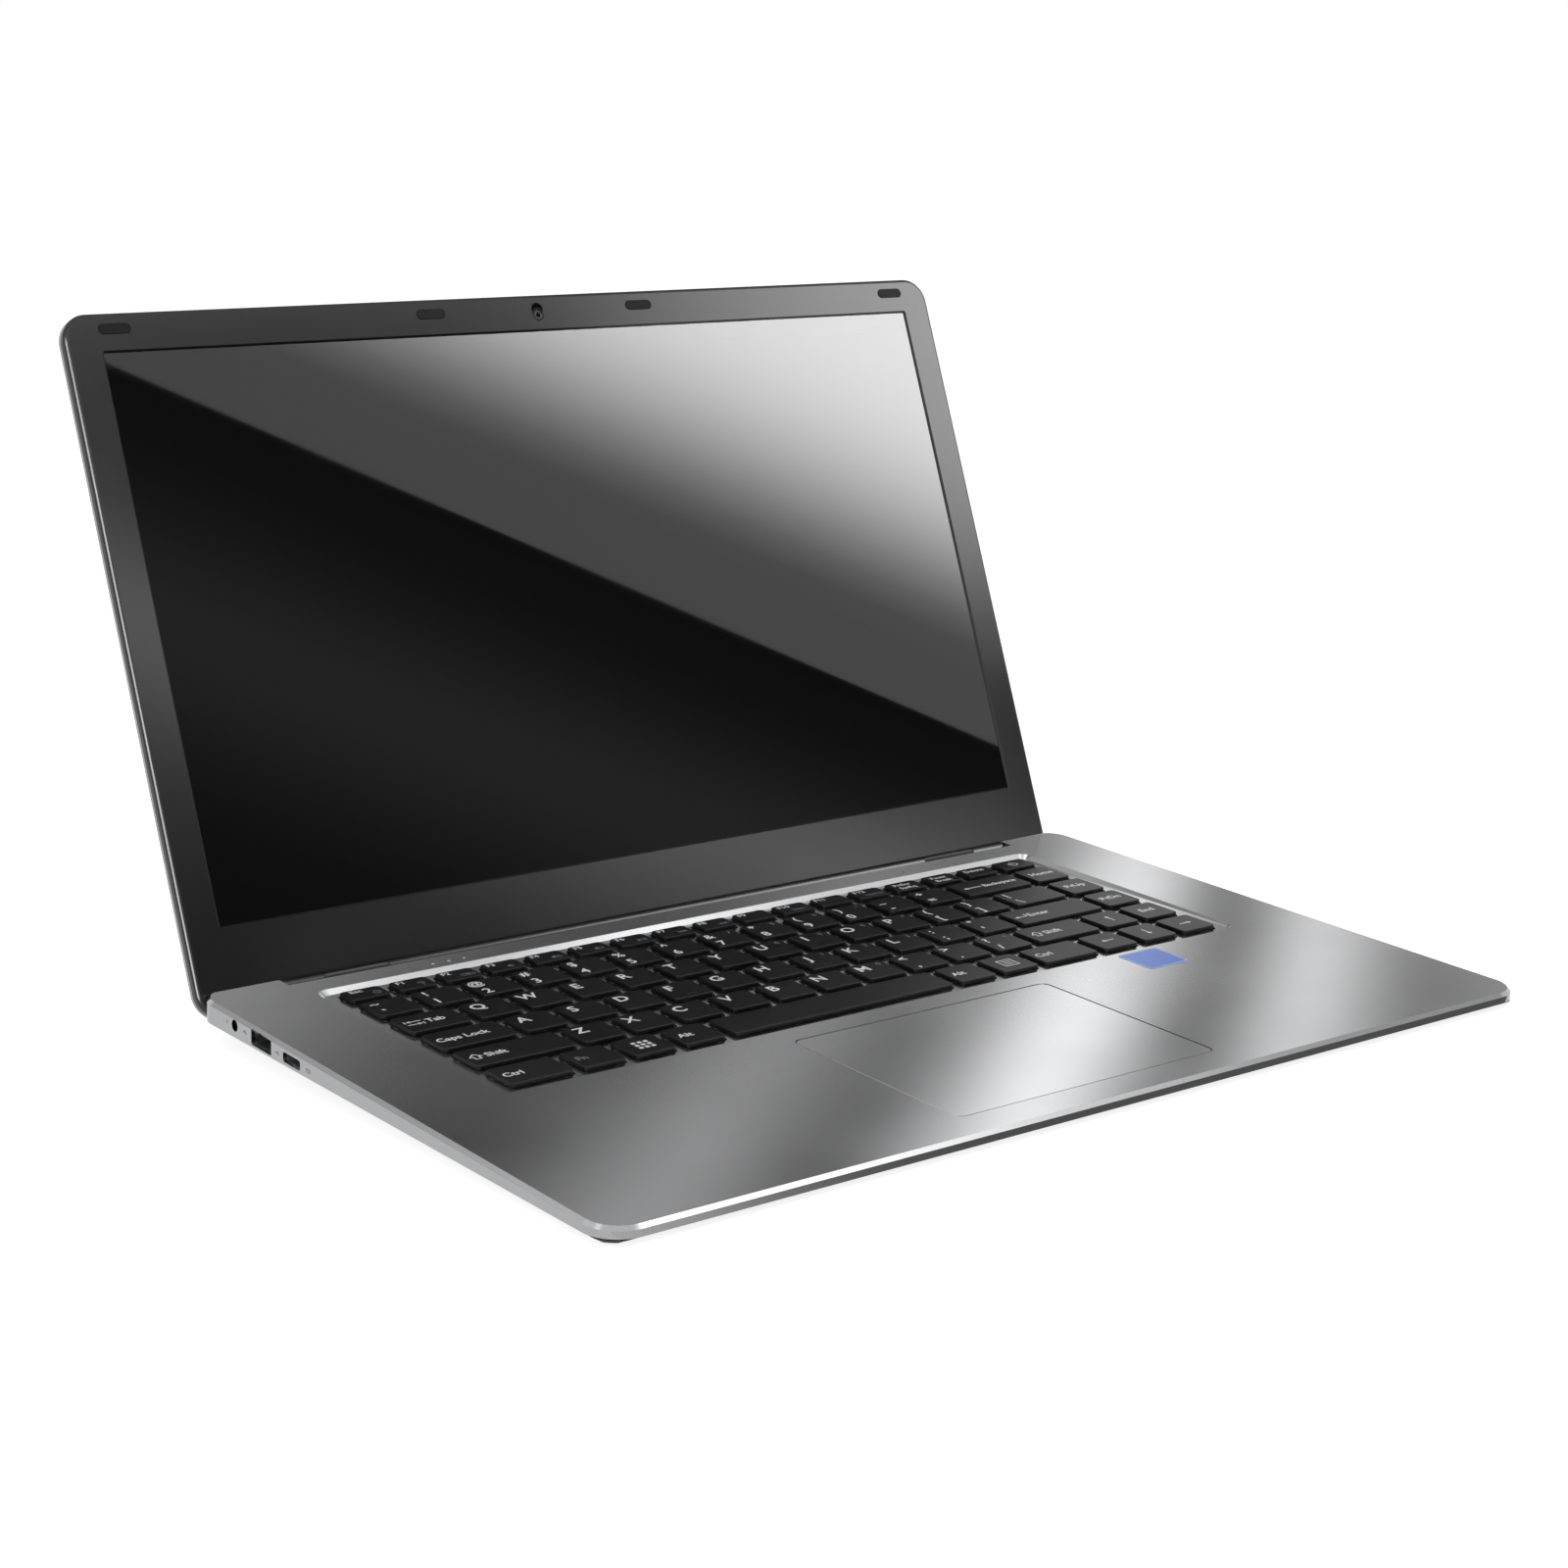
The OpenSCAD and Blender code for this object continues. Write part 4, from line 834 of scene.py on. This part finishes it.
def panel_material(name, opaque, sampled):
    """Glow by the mesh's own glow values, see-through unless opaque. Only a sampled one is also a lamp;
    the others show in a first mirror image alone."""
    material = bpy.data.materials.new(name)
    material.use_nodes = True
    tree = material.node_tree
    tree.nodes.clear()
    out = tree.nodes.new("ShaderNodeOutputMaterial")
    emit = tree.nodes.new("ShaderNodeEmission")
    glow = tree.nodes.new("ShaderNodeAttribute")
    glow.attribute_name = "glow"
    tree.links.new(glow.outputs["Fac"], emit.inputs["Strength"])
    if not sampled:
        material.cycles.emission_sampling = "NONE"
        path = tree.nodes.new("ShaderNodeLightPath")
        first = tree.nodes.new("ShaderNodeMath")
        first.operation = "LESS_THAN"
        first.inputs[1].default_value = 1.5
        product = tree.nodes.new("ShaderNodeMath")
        product.operation = "MULTIPLY"
        tree.links.new(path.outputs["Ray Depth"], first.inputs[0])
        tree.links.new(first.outputs["Value"], product.inputs[0])
        tree.links.new(glow.outputs["Fac"], product.inputs[1])
        tree.links.new(product.outputs["Value"], emit.inputs["Strength"])
    if opaque:
        tree.links.new(emit.outputs["Emission"], out.inputs["Surface"])
        return material
    add = tree.nodes.new("ShaderNodeAddShader")
    clear = tree.nodes.new("ShaderNodeBsdfTransparent")
    tree.links.new(emit.outputs["Emission"], add.inputs[0])
    tree.links.new(clear.outputs["BSDF"], add.inputs[1])
    tree.links.new(add.outputs["Shader"], out.inputs["Surface"])
    return material


sampled_panel = panel_material("studio_softbox", False, True)
glow_panel = panel_material("studio_panel", False, False)
dark_flag = panel_material("studio_flag", True, False)


def grid_faces(rows, across):
    """Faces of a grid of points, rows times across."""
    return [
        (a, a + 1, a + 1 + across, a + across)
        for a in (i * across + k for i in range(rows - 1) for k in range(across - 1))
    ]


def card(name, points, across, glows, material, receivers=(), through=()):
    """Card that only mirrors see, from rows of points with a glow each. It shines on receivers alone, if
    any are named, and past what through names."""
    data = bpy.data.meshes.new(name)
    data.from_pydata(points, [], grid_faces(len(points) // across, across))
    data.attributes.new("glow", "FLOAT", "POINT").data.foreach_set("value", glows)
    data.materials.append(material)
    made = bpy.data.objects.new(name, data)
    scene.collection.objects.link(made)
    for kind in ("visible_camera", "visible_diffuse", "visible_shadow", "visible_transmission"):
        setattr(made, kind, False)
    made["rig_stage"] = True
    if receivers:
        made.light_linking.receiver_collection = group_of(name + "_lights", receivers)
    if through:
        group = group_of(name + "_passes", through)
        for item in group.collection_objects:
            item.light_linking.link_state = "EXCLUDE"
        made.light_linking.blocker_collection = group


def group_of(name, objects):
    group = bpy.data.collections.new(name)
    for obj in objects:
        group.objects.link(obj)
    return group


def panel(name, place, rows, reach, material, receivers=(), through=()):
    """Card placed where a surface's plane mirrors it: rows of (x, y, glow) cross that plane, and the card
    lies on the mirrored rays through them, at reach times the eye's distance."""
    normal = (place.to_3x3() @ Vector((0, 0, 1))).normalized()
    mirrored = eye - 2 * (eye - place.translation).dot(normal) * normal
    points = [mirrored + (place @ Vector((x, y, 0)) - mirrored) * reach for row in rows for x, y, _ in row]
    glows = [glow for row in rows for _, _, glow in row]
    card(name, points, len(rows[0]), glows, material, receivers, through)


def hill(at, middle, left, right):
    """Smooth hill of height 1 with its own width to either side."""
    return math.exp(-(((at - middle) / (left if at < middle else right)) ** 2))


def rise(at, start, width):
    """Smooth step from 0 to 1."""
    return 1 - math.exp(-((max(at - start, 0) / width) ** 2))


def fade(at, low, high, width):
    """0 between low and high, rising smoothly to 1 at width beyond them."""
    t = min(max(low - at, at - high, 0) / width, 1)
    return t * t * (3 - 2 * t)


def dark_card(x_span, y_span, x_fade, y_fade):
    """Rows of a card that is dark in its middle and fades to the world's white at its borders. A span is
    (start, end, step), and a fade is (low, high, width)."""
    return [
        [(x, y, 1 - (1 - fade(x, *x_fade)) * (1 - fade(y, *y_fade))) for x in range(*x_span)]
        for y in range(*y_span)
    ]


FRAME_NODES = ("screen_bezel", "hinge_arms", "hinge_cover", "camera_board", "lid_bumpers")
frame_shown = [nodes[n] for n in FRAME_NODES] + [frame_edge]
lid_shown = frame_shown + [nodes["display_panel"], nodes["camera_lens"], camera_eye]
cover_shown = [nodes["lid_cover"], cover_edge]
deck_shown = [nodes["top_case"], nodes["touchpad"]] + cover_shown
base_shown = [
    o for o in scene.objects
    if o.type == "MESH" and not o.get("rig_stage") and o not in deck_shown and o not in lid_shown
]

# Slanted softboxes over the deck: w is the distance across their slant, which leans back to the right
DECK_SLANT = 1.24
DECK_REACH, KEYS_REACH, DECK_FLAG_REACH = 2.2, 2.22, 2.3
DECK_YS = (-300, 0, 25, 50, 75, 100, 140, 195, 205, 215, 225, 240, 260, 300, 700)
KEYS_SHARE = 0.7


def deck_glow(x, y):
    """Three slanted bands, the left one fading towards the keys, and a dimmer strip behind the keys."""
    w = x - DECK_SLANT * y
    left = 0.85 * hill(w, -172, 44, 30) * (1 - 0.4 * rise(y, 0, 55))
    middle, right = 2.15 * hill(w, -38, 36, 32), 1.45 * hill(w, 70, 24, 38)
    rest = 0.01 + 0.5 * rise(w, 80, 80) + 0.4 * hill(w, -450, 70, 78)
    strip = 0.1 + 0.44 * hill(x, -200, 90, 100) + 0.16 * rise(x, 75, 30)
    behind = rise(y, 195, 24)
    return (rest + left + middle + right) * (1 - behind) + strip * behind


deck_rows = [
    [(w + DECK_SLANT * y, y, deck_glow(w + DECK_SLANT * y, y)) for y in DECK_YS]
    for w in range(-600, 361, 12)
]
key_rows = [[(x, y, KEYS_SHARE * glow) for x, y, glow in row] for row in deck_rows]
deck_dark = dark_card((-540, 541, 30), (-260, 521, 30), (-290, 290, 250), (-70, 330, 190))
panel("deck_panel", ON_DECK, deck_rows, DECK_REACH, sampled_panel, deck_shown, lid_shown + cover_shown)
panel("key_panel", ON_DECK, key_rows, KEYS_REACH, glow_panel, base_shown)
panel("deck_flag", ON_DECK, deck_dark, DECK_FLAG_REACH, dark_flag)

# Softbox over the front edge, which fades to the right
ON_CHAMFER = ON_DECK @ shift(0, -0.5, -0.5) @ turn_x(45)
FRONT_REACH = 4.5
front_rows = [
    [(x, y, 0.5 + 3.0 * hill(x, -170, 200, 138)) for y in (-110, 80)] for x in range(-280, 281, 20)
]
panel("front_panel", ON_CHAMFER, front_rows, FRONT_REACH, dark_flag, deck_shown)

# Grey card for the bevel along the left side
ON_LEFT = ON_DECK @ shift(-BASE_W / 2 + 0.5, 0, -0.5) @ Matrix.Rotation(math.radians(-45), 4, "Y")
LEFT_GREY, LEFT_REACH = 0.55, 2.2
left_rows = [[(x, y, LEFT_GREY) for x in (-50, 50)] for y in (-40, 270)]
panel("left_card", ON_LEFT, left_rows, LEFT_REACH, dark_flag, deck_shown)

# Softbox mirrored by the screen: its lower edge runs down to the right, and m is the height of a line
# of it over the hinge in the middle of the lid
ON_SCREEN = ON_LID @ shift(0, FACE_B + FACE_T, 0) @ turn_x(90)
SCREEN_EDGE, EDGE_SLOPE, SCREEN_SLOPE, SLOPE_CHANGE = 128, 0.507, 0.48, 40
SCREEN_REACH, SCREEN_FLAG_REACH = 3.0, 3.1


def slanted(m, glow):
    """Row of the screen's panel whose slope goes from the edge's own to that of the rest above it."""
    slope = EDGE_SLOPE + (SCREEN_SLOPE - EDGE_SLOPE) * min(max((m - SCREEN_EDGE) / SLOPE_CHANGE, 0), 1)
    return [(-300, m + 300 * slope, glow), (300, m - 300 * slope, glow)]


screen_rows = [slanted(m, 0.035 + 0.21875 * hill(m, 40, 45, 40)) for m in range(-144, SCREEN_EDGE - 3, 12)]
screen_rows.append(slanted(SCREEN_EDGE - 0.2, 0.0175))
screen_rows += [
    slanted(m, 1.015 + 11.9 * rise(m, 158, 66)) for m in range(SCREEN_EDGE, SCREEN_EDGE + 301, 12)
]
panel("screen_panel", ON_SCREEN, screen_rows, SCREEN_REACH, glow_panel, [nodes["display_panel"]])

# Softbox mirrored by the satin frame round it: a light upper rim, the lower end of the screen's slant, and
# a bright right half
FRAME_REACH = 1.5


def frame_glow(x, q):
    rim = (1.5 - 1.1 * rise(x, -20, 60)) * rise(q, 215, 12)
    slant = 3.5 * hill(q + SCREEN_SLOPE * x, 44, 30, 22)
    right_half = 7.6 * rise(x, -20, 110) * rise(q, 66, 60)
    return 0.03 + rim + slant + right_half


frame_rows = [[(x, q, frame_glow(x, q)) for x in range(-360, 361, 15)] for q in range(-240, 481, 12)]
panel("frame_panel", ON_SCREEN, frame_rows, FRAME_REACH, glow_panel, frame_shown)

# Long softbox at the front left, in metres, which only the frame's rounded edge picks up
EDGE_BOX, EDGE_AIM = Vector((-1.40, -0.70, 0.52)), Vector((-0.18, 0.1, 0.1))
EDGE_HALF_W, EDGE_HALF_H, EDGE_GLOW = 0.4, 0.7, 14.0
on_box = Matrix.Translation(EDGE_BOX) @ (EDGE_AIM - EDGE_BOX).to_track_quat("Z", "Y").to_matrix().to_4x4()
corners = [
    on_box @ Vector((x, y, 0)) for y in (-EDGE_HALF_H, EDGE_HALF_H) for x in (-EDGE_HALF_W, EDGE_HALF_W)
]
card("edge_softbox", corners, 2, [EDGE_GLOW] * len(corners), glow_panel, [frame_edge])

# Dark card just over the table before the front edge
FRONT_CARD_Z = 0.4
front_spots = [(x, y) for x in range(-200, 601, 20) for y in (-1.5, -300)]
front_points = [TABLE @ Vector((x, front_y + y, FRONT_CARD_Z)) for x, y in front_spots]
front_glows = [0.16 + 0.7 * hill(x, -190, 100, 60) for x, _ in front_spots]
card("front_card", front_points, 2, front_glows, dark_flag)

# Dark card behind the screen's panel. It fades fast at its top, because more of it would hide front_panel
screen_dark = dark_card((-380, 381, 20), (-80, 301, 10), (-225, 225, 155), (-30, 255, 45))
panel("screen_flag", ON_SCREEN, screen_dark, SCREEN_FLAG_REACH, dark_flag)
